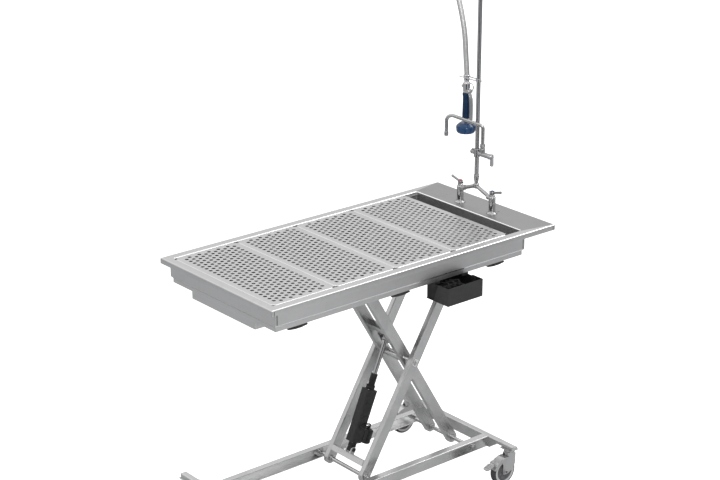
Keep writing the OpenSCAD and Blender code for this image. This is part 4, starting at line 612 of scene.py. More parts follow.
class ExamFinishes(bpy.types.PropertyGroup):
    """Colours and gloss of the finishes."""

    steel: colour_property("Panel steel", "Stainless sheet of the apron and skirt", (0.59, 0.59, 0.59))
    deck: colour_property("Deck steel", "Stainless sheet of the faucet deck", (0.43, 0.43, 0.43))
    basin: colour_property("Basin steel", "Stainless sheet inside the tub", (0.55, 0.55, 0.55))
    tray: colour_property("Tray steel", "Stainless sheet of the trays and the rim", (0.70, 0.70, 0.70))
    leg: colour_property("Leg steel", "Tube of the legs and the base", (0.58, 0.58, 0.58))
    zinc: colour_property("Zinc", "Plated nuts, forks and plates", (0.55, 0.55, 0.55))
    chrome: colour_property("Chrome", "Polished faucet parts", (0.60, 0.60, 0.61))
    hose: colour_property("Hose", "Outside of the spray hose", (0.62, 0.62, 0.625))
    coat: colour_property("Box coat", "Powder coat of the control box", (0.010, 0.010, 0.0105))
    plastic: colour_property("Actuator plastic", "Housing of the actuator", (0.012, 0.012, 0.013))
    inside: colour_property("Inside black", "Parts inside the control box", (0.007, 0.007, 0.0075))
    blue: colour_property("Spray blue", "Grip and bumper of the spray", (0.007, 0.052, 0.15))
    tyre: colour_property("Tyre", "Rubber of the wheels", (0.06, 0.06, 0.063))
    nylon: colour_property("Nylon", "Rollers and wheel centres", (0.16, 0.16, 0.165))
    ring: colour_property("Pale nylon", "Ring on the side of the wheels", (0.62, 0.62, 0.62))
    red: colour_property("Hot index", "Button of the hot lever", (0.45, 0.02, 0.05))
    index_blue: colour_property("Cold index", "Button of the cold lever", (0.06, 0.10, 0.22))
    steel_rough: FloatProperty(name="Steel roughness", description="Gloss of the stainless sheet", min=0.05, max=1.0,
                               subtype="FACTOR", default=0.32)


class ExamSheet(bpy.types.PropertyGroup):
    """Sizes of the folded sheet and the trays, in millimetres."""

    fold: FloatProperty(name="Fold radius", description="Outside radius of the folds of the rim", default=5.0,
                        min=1, max=8)
    hole_count_across: IntProperty(name="Most holes in a row", description="Limit of the holes across one tray",
                                   default=40, min=5, max=60)
    hole_d: FloatProperty(name="Hole", description="Diameter of a tray hole", default=16.2, min=6, max=18)
    hole_pitch: FloatProperty(name="Pitch", description="Distance between neighbouring holes", default=27.7, min=20,
                              max=40)
    hole_edge: FloatProperty(name="Hole edge", description="How far the rim of a hole is eased", default=0.45,
                             min=0.1, max=2)


class ExamStage(bpy.types.PropertyGroup):
    """Camera, floor and lights."""

    place: FloatVectorProperty(name="Camera place", description="Where the camera stands", subtype="TRANSLATION",
                               unit="LENGTH", default=(-4.7653, -5.6646, 3.9119))
    heading: FloatProperty(name="Heading", description="Turn of the view from +Y towards +X", subtype="ANGLE",
                           default=math.radians(39.86))
    tilt: FloatProperty(name="Tilt", description="How far the view looks down", subtype="ANGLE",
                        default=math.radians(20.23))
    lens: FloatProperty(name="Lens", description="Focal length on a 36 mm wide sensor", default=94.7, min=10,
                        max=300)
    floor: colour_property("Floor", "Pale floor", (0.86, 0.86, 0.86))
    key: FloatProperty(name="Key light", description="Power of the large soft light", default=85.0, min=0, max=5000)
    fill: FloatProperty(name="Fill light", description="Power of the second soft light", default=28.0, min=0,
                        max=5000)
    sky: FloatProperty(name="Room light", description="Strength of the even light of the room", default=0.5, min=0,
                       max=3)


# ---------------------------------------------------------------- table top

def rect_ring(x0, x1, y0, y1, radius, z, steps=4):
    """A level ring round a rounded rectangle. z may be a height or a rule for one."""
    ring = rounded_box_outline(x0, x1, y0, y1, radius, steps)
    return [(p.x, p.y, z(p.x) if callable(z) else z) for p in ring]


def build_tub(sizes):
    """Rim, deck and apron folded from one sheet, with the tub hung inside."""
    t, fold, apron = 2.0, sizes.fold, 25
    depth_left, fall, trough = 62, 18, 100
    top, foot = DECK_Z, DECK_Z - apron

    def outer(depth, z):
        """A ring of the apron at a depth inside the rim's edge."""
        return rect_ring(-TOP_L / 2 + depth, TOP_L / 2 - depth, -TOP_W / 2 + depth, TOP_W / 2 - depth,
                         max(2.0 - depth, 0.3), z)

    def floor_z(x, lift=0.0):
        """Height of the sloped floor, which is level under the trough."""
        along = min(max((x - TUB_LEFT) / (TUB_RIGHT - trough - TUB_LEFT), 0), 1)
        return DECK_Z - (depth_left + fall * along) + lift

    def inner(depth, z, lift=0.0):
        """A ring of the tub's wall, or of its floor where no height is given."""
        return rect_ring(TUB_LEFT + depth, TUB_RIGHT - depth, depth - TUB_SIDE, TUB_SIDE - depth,
                         max(7.0 - depth, 0.4), (lambda x: floor_z(x, lift)) if z is None else z)

    quarter = [math.pi / 2 * k / 4 for k in range(5)]
    shape = Shape()
    rings = [inner(9, None, -t), inner(-t, None, 3), inner(-t, top - t - fold)]
    rings += [inner(-t - fold, top - t), outer(t + fold, top - t), outer(t, top - t - fold),
              outer(t, foot + t + 0.6)]
    rings += [outer(t + 0.6, foot + t), outer(9.6, foot + t), outer(10, foot + t - 0.4), outer(10, foot + 0.4),
              outer(9.6, foot), outer(2.4, foot), outer(0.7, foot + 0.7), outer(0, foot + 2.4)]
    rings += [outer(fold * (1 - math.cos(a)), top - fold * (1 - math.sin(a))) for a in quarter]
    rings += [inner(-fold * (1 - math.sin(a)), top - fold * (1 - math.cos(a))) for a in quarter]
    rings += [inner(0, None, 6), inner(1.8, None, 1.8), inner(6, None, 0)]
    n = len(rings[0])
    shape.rings(rings, caps=False)
    drain_x, drain_r = TUB_RIGHT - 42, 26
    hole = circle((drain_x, 0), drain_r, 40)
    for ring, lift in ((rings[-1], 0.0), (rings[0], -t)):
        loops = [[Vector((p[0], p[1], 0)) for p in ring], [Vector((p.x, p.y, 0)) for p in hole]]
        verts = list(ring) + [(p.x, p.y, floor_z(p.x, lift)) for p in hole]
        shape.add(verts, [list(f) for f in tessellate_polygon(loops)])
    edge = len(shape.verts)
    count = len(hole)
    upper, lower = edge - 2 * count - n, edge - count
    shape.faces += [[upper + k, upper + (k + 1) % count, lower + (k + 1) % count, lower + k] for k in range(count)]
    shape.marks += [0] * count
    for way in (-1, 1):
        y0, y1 = sorted((way * (TUB_SIDE - 14), way * (TUB_SIDE + 0.5)))
        shape.box(TUB_LEFT + 1, TUB_RIGHT - 1, y0, y1, DECK_Z - 12, DECK_Z - 10, 0.6)
    finishes = ["Panel steel", "Deck steel", "Basin steel", "Tray steel", "Sump steel", "Bright fold"]
    made = piece("tub", shape, finishes, "platform")
    weld(made)
    for face in made.data.polygons:
        centre = face.center / MM - TO_FRAME
        within = TUB_LEFT - 1 < centre.x < TUB_RIGHT + 1 and abs(centre.y) < TUB_SIDE + 1
        # Upward faces inside the tub, its floor and the ledges under the trays, take the darker basin copy: painted
        # shade.
        if within and centre.z < DECK_Z - 4:
            face.material_index = 4 if face.normal.z > 0.8 else 2
        # Upward faces of the top: the deck takes the deck steel, the rest of the rim the lighter tray steel, painted
        # light on the top of the one sheet.
        elif face.normal.z > 0.9 and centre.z > DECK_Z - 1:
            face.material_index = 1 if centre.x > TUB_RIGHT - 40 else 3
        # Sloped faces of the rim's folds take the near-white steel: a painted highlight along the folds.
        elif 0.2 < face.normal.z < 0.9 and centre.z > DECK_Z - fold:
            if abs(face.normal.y) > abs(face.normal.x) or 0 < centre.x - TUB_RIGHT < fold:
                face.material_index = 5

    trim = Shape()
    for way in (-1, 1):
        xs = sorted((way * (TOP_L / 2 - 10.6), way * (TOP_L / 2 - 13.4)))
        trim.box(xs[0], xs[1], -TOP_W / 2 - 0.15, -TOP_W / 2 + 0.9, foot + 2, top - 5, 0.3)
    screw = move(TOP_L / 2 - 72, -100, DECK_Z)
    head = [(0, -6), (2.6, -6), (2.6, -1.2), (4.4, -0.3), (4.4, 0.15), (3.1, 0.2), (2.2, -0.6), (0, -0.6)]
    trim.lathe(head, screw, count=24)
    piece("rim_seams_and_screw", trim, "Dull black", "platform")


def weld(made, distance=1e-6):
    """Joins the points that lie together, so that a solid closes."""
    work = bmesh.new()
    work.from_mesh(made.data)
    bmesh.ops.remove_doubles(work, verts=work.verts, dist=distance)
    bmesh.ops.recalc_face_normals(work, faces=work.faces)
    work.to_mesh(made.data)
    work.free()
    made.data.shade_smooth()
    made.data.set_sharp_from_angle(angle=SHARP)


def build_skirt():
    """Skirt under the rim with its bevelled foot, and the folded seams at the corners."""
    x0, x1, y1, t = -TOP_L / 2 + 32, TOP_L / 2 - 157, TOP_W / 2 - 23, 2.0
    top = DECK_Z - 2.4

    def ring(depth, z):
        """A ring of the skirt at a depth inside its face."""
        return rect_ring(x0 + depth, x1 - depth, -y1 + depth, y1 - depth, max(2.2 - depth * 0.2, 0.6), z)

    shape = Shape()
    low, foot = DECK_Z - 82, DECK_Z - 90
    shape.rings([ring(0, top), ring(0, low + 2), ring(0.25, low + 0.8), ring(0.8, low - 0.6), ring(7.0, foot + 0.9),
                 ring(7.6, foot + 0.3), ring(8.4, foot), ring(9.8, foot), ring(10, foot + 0.4), ring(2.2, low + 0.8),
                 ring(t, low + 2), ring(t, top)], cyclic=True)
    seam = Shape()
    for sx, sy in ((x0, -y1), (x0, y1), (x1, -y1), (x1, y1)):
        wx, wy = (1 if sx < 0 else -1), (1 if sy < 0 else -1)
        xs = sorted((sx + wx * 8, sx + wx * 12.2))
        ys = sorted((sy - wy * 0.12, sy + wy * 0.8))
        seam.box(xs[0], xs[1], ys[0], ys[1], low + 4, DECK_Z - 30, 0.25)
    made = piece("skirt", shape, ["Panel steel", "Bright fold", "Tray steel"], "platform")
    weld(made)
    for face in made.data.polygons:
        # Downward bevels of the foot take lighter steel, a painted highlight: near-white in front and behind, tray
        # steel at the ends.
        if -0.93 < face.normal.z < -0.2:
            face.material_index = 1 if abs(face.normal.y) > abs(face.normal.x) else 2
    piece("skirt_seams", seam, "Dull black", "platform")


def build_tray(number, sizes):
    """A perforated tray: pierced holes with pressed rims and edges turned down on the ledge."""
    gap, border, end_border = 1, 32, 25
    x0 = TUB_LEFT + (number - 1) * TRAY_PITCH + gap / 2
    x1, half = x0 + TRAY_PITCH - gap, TUB_SIDE - gap
    top, t, fold, foot = DECK_Z - 1, 2.0, 3.8, DECK_Z - 9.7
    notch, steps = 14.0, 8
    outline = []
    for cx, cy, start in ((x0, -half, 90), (x1, -half, 180), (x1, half, 270), (x0, half, 0)):
        outline += arc((cx, cy), notch, start, start - 90, steps)
    if area_of(outline) < 0:
        outline.reverse()
    pitch, r, ease = sizes.hole_pitch, sizes.hole_d / 2, sizes.hole_edge
    step = pitch * math.sin(math.radians(60))
    columns = round((TRAY_PITCH - gap - 2 * border) / step) + 1
    rows = min(int((2 * half - 2 * end_border) / pitch) + 1, sizes.hole_count_across)
    middle = (x0 + x1) / 2
    centres = []
    for c in range(columns):
        short = 1 - c % 2
        for k in range(rows - short):
            centres.append((middle + (c - (columns - 1) / 2) * step, (k - (rows - 1 - short) / 2) * pitch))
    sides = 24

    def level(depth, hole_r, z):
        """The outline and all the holes at one height."""
        flat = [(p.x, p.y, z) for p in inset(outline, depth)]
        for c in centres:
            flat += [(p.x, p.y, z) for p in circle(c, hole_r, sides)]
        return flat

    n = len(outline)
    upper = level(fold, r + ease, top)
    lower = level(fold, r, top - t)
    flat_points = [Vector((p[0], p[1], 0)) for p in upper]
    loops = [flat_points[:n]] + [flat_points[k:k + sides] for k in range(n, len(upper), sides)]
    flat = [list(f) for f in tessellate_polygon(loops)]
    shape = Shape()
    shape.add(upper, flat)
    shape.add(lower, [f[::-1] for f in flat])
    edge = [(fold, top), (fold * 0.62, top - 0.08 * fold), (fold * 0.29, top - 0.29 * fold),
            (fold * 0.08, top - 0.62 * fold), (0, top - fold), (0, foot + 0.5), (0.4, foot), (t - 0.4, foot),
            (t, foot + 0.5), (t, top - fold), (fold, top - t)]
    shape.rings([[(p.x, p.y, z) for p in inset(outline, d)] for d, z in edge], caps=False)
    rim = ((r + ease, top), (r + ease * 0.45, top - ease * 0.22), (r + ease * 0.1, top - ease * 0.6),
           (r, top - ease), (r, top - t))
    for c in centres:
        shape.rings([[(p.x, p.y, z) for p in circle(c, hole_r, sides)] for hole_r, z in rim], caps=False)
    made = piece(f"tray_{number}", shape, ["Tray steel", "Bright fold"], f"tray_{number}")
    weld(made)
    for face in made.data.polygons:
        centre = face.center / MM - TO_FRAME
        edge_gap = half - abs(centre.y)
        # Sloped faces of the turned-down edge take the near-white steel: a painted highlight along the edge.
        if edge_gap < fold and 0.15 < face.normal.z < 0.93:
            face.material_index = 1


def build_table_frame():
    """Band, arms, channels, caps and cleats under the top, with their edges eased."""
    for name in ("support_frame", "lift_channel_front", "lift_channel_back", "lift_channel_caps"):
        dress(name, "Panel steel", 1.0)
    dress("tie_down_cleats", "Black coat", 0.6)
    dress("drain", "Satin chrome", 0.4)
    dress("upper_axle", "Turned steel", 0.6)


# ---------------------------------------------------------------- scissor lift

def leg_frame(outer):
    """Frame of a leg: X along it from its low end, and Y across the table."""
    if outer:
        return move(ROLLER_X, 0, PIVOT_LOW) @ Matrix.Rotation(-LEG_ANGLE, 4, "Y")
    return move(PIVOT_X, 0, PIVOT_LOW) @ Matrix.Rotation(LEG_ANGLE - math.pi, 4, "Y")


def build_legs():
    """Four tube legs with rounded corners, round ends and pivot holes."""
    places = {"outer_leg_front": (True, -130, "outer_legs"), "outer_leg_back": (True, 105, "outer_legs"),
              "inner_leg_front": (False, -84, "inner_legs"), "inner_leg_back": (False, 59, "inner_legs")}
    for name, (outer, y, body) in places.items():
        shape = Shape()
        at = leg_frame(outer)
        holes = [circle((x, 0), 9.05, 28) for x in (0, LEG_LEN / 2, LEG_LEN)]
        shape.sheet(stadium(0, LEG_LEN, 25, 16), holes, y, y + 25, [3.2, 0.5], "xz", at, 0, 4)
        piece(name, shape, "Outer leg steel" if outer else "Inner leg steel", body)


def build_lift_parts():
    """Axles, rollers and cross pieces of the lift."""
    dress("outer_cross_member", "Outer leg steel", 1.2)
    dress("inner_cross_bar", "Inner leg steel", 1.2)
    for name in ("lower_rollers", "upper_rollers", "lower_axle"):
        dress(name, "Turned steel", 0.5)
    at = leg_frame(True) @ move(LEG_LEN / 2, 0, 0)
    shape = Shape()
    shape.bar(at, "y", 8.95, -134, 134, 0.8, 0, 40)
    tubes = [(17, -58.2, 58.2), (20, -104.8, -84.7), (20, 84.7, 104.8)]
    for radius, low, high in tubes:
        shape.sleeve(at, "y", 9.1, radius, low, high, 0.5)
    plate = rounded_box_outline(-12, 20, -10, 10, 2.5, 4)
    slit = rounded_box_outline(-6, 15, 3.4, 6.2, 1.2, 3)
    for low, high in ((-134, -130.1), (130.1, 134)):
        shape.sheet(plate, [slit, circle((0, 0), 9.0, 28)], low, high, [0.7, 0.2], "xz", at, 1, 3)
    piece("centre_axle", shape, ["Turned steel", "Bright zinc"], "outer_legs")


def build_base():
    """Rails and folded cross members of the base."""
    side = 15
    for name, way in (("base_rail_front", -1), ("base_rail_back", 1)):
        w, h, t = 35.0, 50.0, 3.0
        y = way * RAIL_Y
        z0 = RAIL_TOP - h
        outline = [(y - way * w, z0), (y, z0), (y, z0 + h), (y - way * w, z0 + h), (y - way * w, z0 + h - t),
                   (y - way * t, z0 + h - t), (y - way * t, z0 + t), (y - way * w, z0 + t)]
        profile = fillet(outline, [0.8, 4.0, 4.0, 0.8, 0.8, 1.2, 1.2, 0.8], 4)
        shape = Shape()
        shape.slab(profile, CROSS_LEFT + side, CROSS_RIGHT - side, 0.4, "yz")
        made = piece(name, shape, ["Base steel", "Base inside steel"], "base")
        for face in made.data.polygons:
            place = face.center / MM - TO_FRAME
            # Inner faces of the channel below the top flange take the lighter steel: painted light in their shade.
            is_inner = face.normal.y * way < -0.7 or face.normal.z > 0.7
            if abs(place.y) < RAIL_Y - t / 2 and is_inner and place.z < z0 + h - t:
                face.material_index = 1
    for name, x in (("cross_member_left", CROSS_LEFT), ("cross_member_right", CROSS_RIGHT)):
        shape = Shape()
        t, half = 3.0, 370.0
        stations = [(-half + t, 15), (-272, 15), (-224, 50), (224, 50), (272, 15), (half - t, 15)]
        rings = []
        for y, depth in stations:
            foot = RAIL_TOP - depth
            outline = [(x - 15, foot), (x - 15, RAIL_TOP), (x + 15, RAIL_TOP), (x + 15, foot), (x + 12, foot),
                       (x + 12, RAIL_TOP - t), (x - 12, RAIL_TOP - t), (x - 12, foot)]
            profile = fillet(outline, [0.6, 4.2, 4.2, 0.6, 0.6, 1.4, 1.4, 0.6], 4)
            rings.append([(p.x, y, p.y) for p in profile])
        shape.rings(rings)
        lid = rounded_box_outline(x - 15, x + 15, RAIL_TOP - 15, RAIL_TOP, 2.2)
        for low, high in ((-half, t - 0.4 - half), (half - t + 0.4, half)):
            shape.slab(lid, low, high, 0.8, "xz")
        piece(name, shape, "Cross steel", "base")
    dress("caster_plates", "Zinc plate", 0.6)


# ---------------------------------------------------------------- casters

WHEEL_R = 62.5
TRAIL = 38.0
CASTER_Y = 335.0
BRAKE_X, BRAKE_Z = -56.0, 52.0


def caster_frame(number):
    """Frame of a caster on its swivel axis: 1 and 2 at the faucet's end, 3 and 4 turned round at the other."""
    y = -CASTER_Y if number % 2 else CASTER_Y
    return move(CROSS_RIGHT, y, 0) if number <= 2 else move(CROSS_LEFT, y, 0) @ rotate(180, "Z")


def mirrored(half):
    """An outline of a half and its mirror image across the level of zero."""
    return half + [(r, -y) for r, y in reversed(half)]


def build_casters():
    """Hooded forks, wheels with a tyre and a recessed centre, and the brake pedals."""
    hood, room = 69.0, 65.5
    for number in range(1, 5):
        at = caster_frame(number)
        hub = at @ move(-TRAIL, 0, WHEEL_R)
        shape = Shape()
        cheek = arc((0, 0), hood, 76, 162, 24) + arc((0, 0), 54, 158, 114, 10)
        cheek += fillet([(-14, 34), (-13.8, 4), (-12.4, -13.8), (13.8, -13.8), (44, 0), (57.5, 24), (60, 76.5),
                         (17, 76.5)], [14, 8, 9, 9, 20, 22, 3, 3], 5, closed=False)
        for low in (-20, 17.5):
            shape.slab(cheek, low, low + 2.5, 1.0, "xz", hub)
        shape.slab(rounded_box_outline(17, 60, -19.5, 19.5, 5, 5), 73.5, 77.4, 0.8, "xy", hub)
        shape.sleeve(at, "z", 8.05, 24, 139, 141, 0.6)
        band = arc((0, 0), hood, 28, 161, 30) + arc((0, 0), room, 28, 161, 30)[::-1]
        shape.slab(band, -19.2, 19.2, 0.6, "xz", hub)
        shape.sleeve(at, "z", 8.05, 20, 97, 140, 1.0)
        shape.lathe([(8.05, 140.4), (24, 140.4), (24, 146.5), (22, 147), (22, 149), (24, 149.5), (24, 155.6),
                     (8.05, 155.6)], at, edge=1.2, closed=True)
        for way in (-1, 1):
            axis = hub @ rotate(-90 * way, "X")
            shape.bar(axis, "z", 12, 16.4, 17.6, 0)
            shape.bar(axis, "z", 11.5, 20, 21.4)
            shape.slab(fillet(circle((0, 0), 9.8, 6), 0.8, 2), 21.2, 26, 0.8, "xy", axis)
            shape.bar(axis, "z", 5.5, 25.5, 26, 0.2, count=24)
        shape.bar(hub, "-y", 6, -19, 19, 0, count=24)
        if number <= 2:
            lug = fillet([(-46, 36), (-40, 50), (-52, 61), (-65, 54), (-61, 43)], 6, 5)
            for low in (-16, 12):
                shape.slab(lug, low, low + 4, 0.8, "xz", hub)
            shape.bar(hub @ move(BRAKE_X, 0, BRAKE_Z), "-y", 3, -17, 17, count=20)
        piece(f"caster_fork_{number}", shape, "Zinc plate", f"fork_{number}")

        wheel = Shape()
        axis = hub @ rotate(90, "X")
        tyre = mirrored([(47, -13.5), (54, -15.2), (56.5, -16), (59.6, -14.8), (61.6, -12), (62.5, -8)])
        wheel.lathe(tyre, axis, 0, count=72, edge=1.0, closed=True)
        centre = mirrored([(6.2, -16), (14.5, -16), (15, -15.4), (15.6, -9.5), (17.5, -7.4), (21, -7), (36, -7),
                           (39.5, -8.5), (41.5, -13), (42.4, -14), (47.4, -14), (48, -13.4)])
        wheel.lathe(centre, axis, 1, count=72, edge=0.6, closed=True)
        for side in (-1, 1):
            ring = [(43.2, 13.2), (43.8, 15.3), (45.2, 15.9), (52.6, 15.9), (54.4, 15.0), (54.6, 13.2)]
            wheel.lathe([(r, side * y) for r, y in ring], axis, 2, count=72, closed=True)
        for low in (-10.5, 6.5):
            for k in range(6):
                spoke = axis @ Matrix.Rotation(TURN * k / 6, 4, "Z")
                wheel.box(15, 41, -1.8, 1.8, low, low + 4, 0.8, spoke, 1)
        finishes = ["Grey tyre", "Wheel nylon", "Pale nylon"]
        piece(f"caster_wheel_{number}", wheel, finishes, f"wheel_{number}")

    for number in (1, 2):
        pin = move(BRAKE_X - TRAIL, 0, WHEEL_R + BRAKE_Z)
        at = caster_frame(number) @ pin @ rotate(180, "Z") @ rotate(20, "Y")
        shape = Shape()
        shape.sleeve(at, "-y", 3.05, 6, -11.7, 11.7, 0.5, 28)
        tread = fillet([(3.5, -11.7), (12, -11.7), (13, -18), (45, -18), (54, -12), (54, 12), (45, 18), (13, 18),
                        (12, 11.7), (3.5, 11.7)], [0.5, 1, 3, 5, 6, 6, 5, 3, 1, 0.5], 4)
        shape.slab(tread, -2, 2, 1.1, "xy", at)
        for k in range(4):
            shape.box(15 + 7 * k, 18 + 7 * k, -14.5, 14.5, 1.6, 4, 0.9, at)
        piece(f"brake_pedal_{number}", shape, "Zinc plate", f"brake_pedal_{number}")


# ---------------------------------------------------------------- faucet

FAUCET_AT = Matrix.Translation(FAUCET)
VALVE_OFF = 101.6
TEE_Z, HUB_Z = 62.0, 100.0
YOKE_ANGLE = math.atan2(HUB_Z - TEE_Z, VALVE_OFF)


def valve_frame(way):
    """Frame of a valve: the cold one in front, the hot one mirrored behind."""
    flip = Matrix.Scale(-1, 4, (0, 1, 0)) if way > 0 else Matrix.Identity(4)
    return FAUCET_AT @ flip @ move(0, -VALVE_OFF, 0)


def build_valves():
    """Cold and hot valves with their supply threads and levers."""
    for name, way in (("cold", -1), ("hot", 1)):
        at = valve_frame(way)
        shape = Shape()
        shape.lathe([(0, 0), (24, 0), (24, 2.2), (21, 4.2), (16.5, 4.8), (14.4, 7), (14.2, 46), (15, 48), (15, 73),
                     (12.5, 76), (12.5, 81), (0, 81)],
                    at, count=48, edge=[0, 0.6, 1.2, 1, 1.5, 3, 1, 1, 2.5, 1, 0.8, 0], steps=4)
        shape.bar(at @ move(0, 0, TEE_Z) @ Matrix.Rotation(YOKE_ANGLE, 4, "X"), "y", 11, 0, 18, 0.8)
        shape.nut(at, "z", 21, 81.01, 85.9, 0.9)
        shape.bar(at, "z", 4, 85.5, 97, 0.3)
        shape.sleeve(at, "z", 5.1, 10.4, -61.9, 0, 0.4, 32)
        for k in range(18):
            z = -58 + 2.2 * k
            shape.lathe([(10.2, z), (10.49, z + 0.5), (10.2, z + 1.0)], at, count=32, closed=True)
        shape.nut(at, "z", 29, -10, -2, 0.8, 1)
        piece(f"{name}_valve", shape, ["Chrome", "Turned steel"], "platform")

        lever = Shape()
        low = 86.6
        lever.lathe([(4.1, low), (9.5, low), (11, low + 2.5), (11, low + 9.5), (9.6, low + 12.9), (8.2, low + 12.9),
                     (4.1, low + 12)], at, count=40, edge=[0.2, 1, 1.5, 2, 0.6, 0.3, 0.2], steps=3, closed=True)
        arm = at @ move(0, 0, low + 6.5) @ rotate(-15, "X")
        line = [(0, -8, 0), (0, -14, 0), (0, -22, 0), (0, -34, 0), (0, -44, 0), (0, -49, 0), (0, -52.5, 0),
                (0, -55, 0), (0, -56.9, 0), (0, -58, 0)]
        lever.tube(line, [5.2, 5.3, 5.3, 5.2, 5.2, 5.5, 6.2, 6.0, 4.4, 0.6], 20, arm, ends=0)
        tail = at @ move(0, 0, low + 6.5)
        lever.tube([(0, 8, 0), (0, 13, 0), (0, 16, 0), (0, 17.6, 0), (0, 18, 0)], [4.4, 4.4, 4.1, 2.6, 0.8], 20,
                   tail, ends=0)
        lever.lathe([(0, low + 12.6), (7.9, low + 12.6), (7.9, low + 14.4), (6.4, low + 15.9), (0, low + 15.9)], at,
                    1, count=40, edge=[0, 0.3, 0.9, 1.6, 0], steps=4)
        piece(f"{name}_lever", lever, ["Dark chrome", "Red index" if way > 0 else "Blue index"], f"{name}_lever")


def build_yoke():
    """Yoke between the valves, conical coupling and riser."""
    shape = Shape()
    shape.lathe([(0, 88), (8, 88), (13, 91.5), (13, 108.5), (8.5, 112), (0, 112)], FAUCET_AT, count=48,
                edge=[0, 2, 3, 3, 2, 0], steps=5)
    for way in (-1, 1):
        arm = valve_frame(way) @ move(0, 0, TEE_Z) @ Matrix.Rotation(YOKE_ANGLE, 4, "X")
        shape.nut(arm, "y", 24, 18, 30, 1.0)
        length = math.hypot(VALVE_OFF, HUB_Z - TEE_Z)
        shape.lathe([(0, 29), (10.4, 29), (10.4, 31), (8.6, 33), (8.6, length), (0, length)], turned(arm, "y"),
                    count=36, edge=0.6)
    piece("faucet_yoke", shape, "Satin chrome", "platform")
    cone = Shape()
    cone.lathe([(0, 112), (8, 112), (8.2, 115), (12.3, 140.6), (11.6, 141.4), (12.5, 142.2), (12.5, 149), (11.5, 150),
                (0, 150)], FAUCET_AT, count=48, edge=[0, 0.4, 2, 0.3, 0.3, 0.3, 0.5, 0.5, 0], steps=3)
    piece("riser_coupling", cone, "Satin chrome", "platform")
    pipe = Shape()
    pipe.lathe([(7, 150.02), (9.5, 150.02), (9.5, 231), (9.0, 233), (9.0, 981), (7, 981)], FAUCET_AT, count=48,
               edge=0.3, closed=True)
    pipe.nut(FAUCET_AT, "z", 26, 980, 996, 1.2)
    pipe.lathe([(0, 996), (17, 996), (17, 1000), (0, 1000)], FAUCET_AT, count=48, edge=[0, 0.8, 0.8, 0], steps=3)
    piece("riser_pipe", pipe, "Satin chrome", "platform")


def build_nozzle():
    """Add-on faucet, its lever and the swinging nozzle."""
    at = FAUCET_AT @ move(0, 0, 251)
    shape = Shape()
    shape.lathe([(8.55, -18), (13, -18), (14, -16), (14, 16), (13, 18), (8.55, 18)], at, count=48,
                edge=[0.2, 0.8, 1.5, 1.5, 0.8, 0.2], steps=3, closed=True)
    shape.lathe([(0, -75), (10.5, -75), (10.5, -66), (11, -64), (11, -12), (0, -12)], turned(at, "y"), count=40,
                edge=[0, 0.5, 1, 1, 0.3, 0], steps=3)
    shape.lathe([(0, 10), (10, 10), (10, 26.8), (11, 27.2), (11, 31), (10, 31.4), (9, 34.9), (0, 34.9)],
                turned(at, "y"), count=40, edge=[0, 0.2, 0.3, 0.3, 0.3, 0.3, 1.5, 0], steps=3)
    shape.nut(at, "y", 22, -83, -75, 0.9)
    boss = at @ move(0, -34, 0)
    shape.lathe([(6.05, 8), (11, 8), (11, 25), (10, 27), (10, 31), (11, 32), (11, 33.5), (6.05, 33.5)], boss,
                count=40, edge=[0.2, 0.2, 1, 1, 0.8, 0.4, 0.4, 0.2], steps=3, closed=True)
    shape.bar(at @ move(0, 27, 0), "z", 4, 8, 14, 0.6)
    piece("add_on_faucet", shape, "Satin chrome", "platform")

    swing = FAUCET_AT @ move(0, -34, 0) @ rotate(30, "Z")
    slope, reach, base = math.radians(14), 165.0, 285.1
    nozzle = Shape()
    nozzle.bar(swing, "z", 6, base - 13, base + 0.4, 0.3)
    nozzle.lathe([(0, base), (11.4, base), (11.4, base + 2), (10.2, base + 2.6), (0, base + 2.6)], swing, count=40,
                 edge=0.4)
    nozzle.nut(swing, "z", 20, base + 2.2, base + 12, 0.9)
    top = 378 + reach * math.tan(slope)
    corner = fillet([(0, base + 10), (0, 378), (reach, top), (reach, 339)], [0, 16, 26, 0], 14, closed=False)
    line = []
    for a, b in zip(corner, corner[1:]):
        cuts = max(1, int((b - a).length / 20))
        line += [a.lerp(b, k / cuts) for k in range(cuts)]
    line.append(corner[-1])
    nozzle.tube([(0, p.x, p.y) for p in line], 7.8, 28, swing, ends=0)
    tip = swing @ move(0, reach, 0)
    nozzle.lathe([(4.6, 319), (8.2, 319), (9, 320.5), (9, 337.5), (7.5, 339), (0, 339), (0, 329), (4.6, 329)], tip,
                 count=40, edge=[0.3, 0.6, 0.6, 0.8, 0.4, 0, 0, 0.3], steps=3)
    for k in range(20):
        knurl = tip @ Matrix.Rotation(TURN * k / 20, 4, "Z")
        nozzle.box(8.5, 9.25, -0.5, 0.5, 322, 335, 0.2, knurl)
    piece("swing_nozzle", nozzle, "Satin chrome", "swing_nozzle")

    lever = Shape()
    y = -83.6
    lever.bar(at, "y", 4, y, y + 14, 0.3)
    lever.lathe([(0, y - 13), (8.5, y - 13), (11, y - 10.5), (11, y), (0, y)], turned(at, "y"), count=40,
                edge=[0, 1, 1.5, 0.6, 0], steps=3)
    blade = stadium(-33, 8, 8.0, 12)
    outline = [Vector((p.y * (1.0 - 0.18 * (p.x > 0)), p.x)) for p in blade]
    lever.slab(outline, y - 15, y - 4, 2.2, "xz", at, 0, 4)
    piece("nozzle_lever", lever, "Chrome", "nozzle_lever")


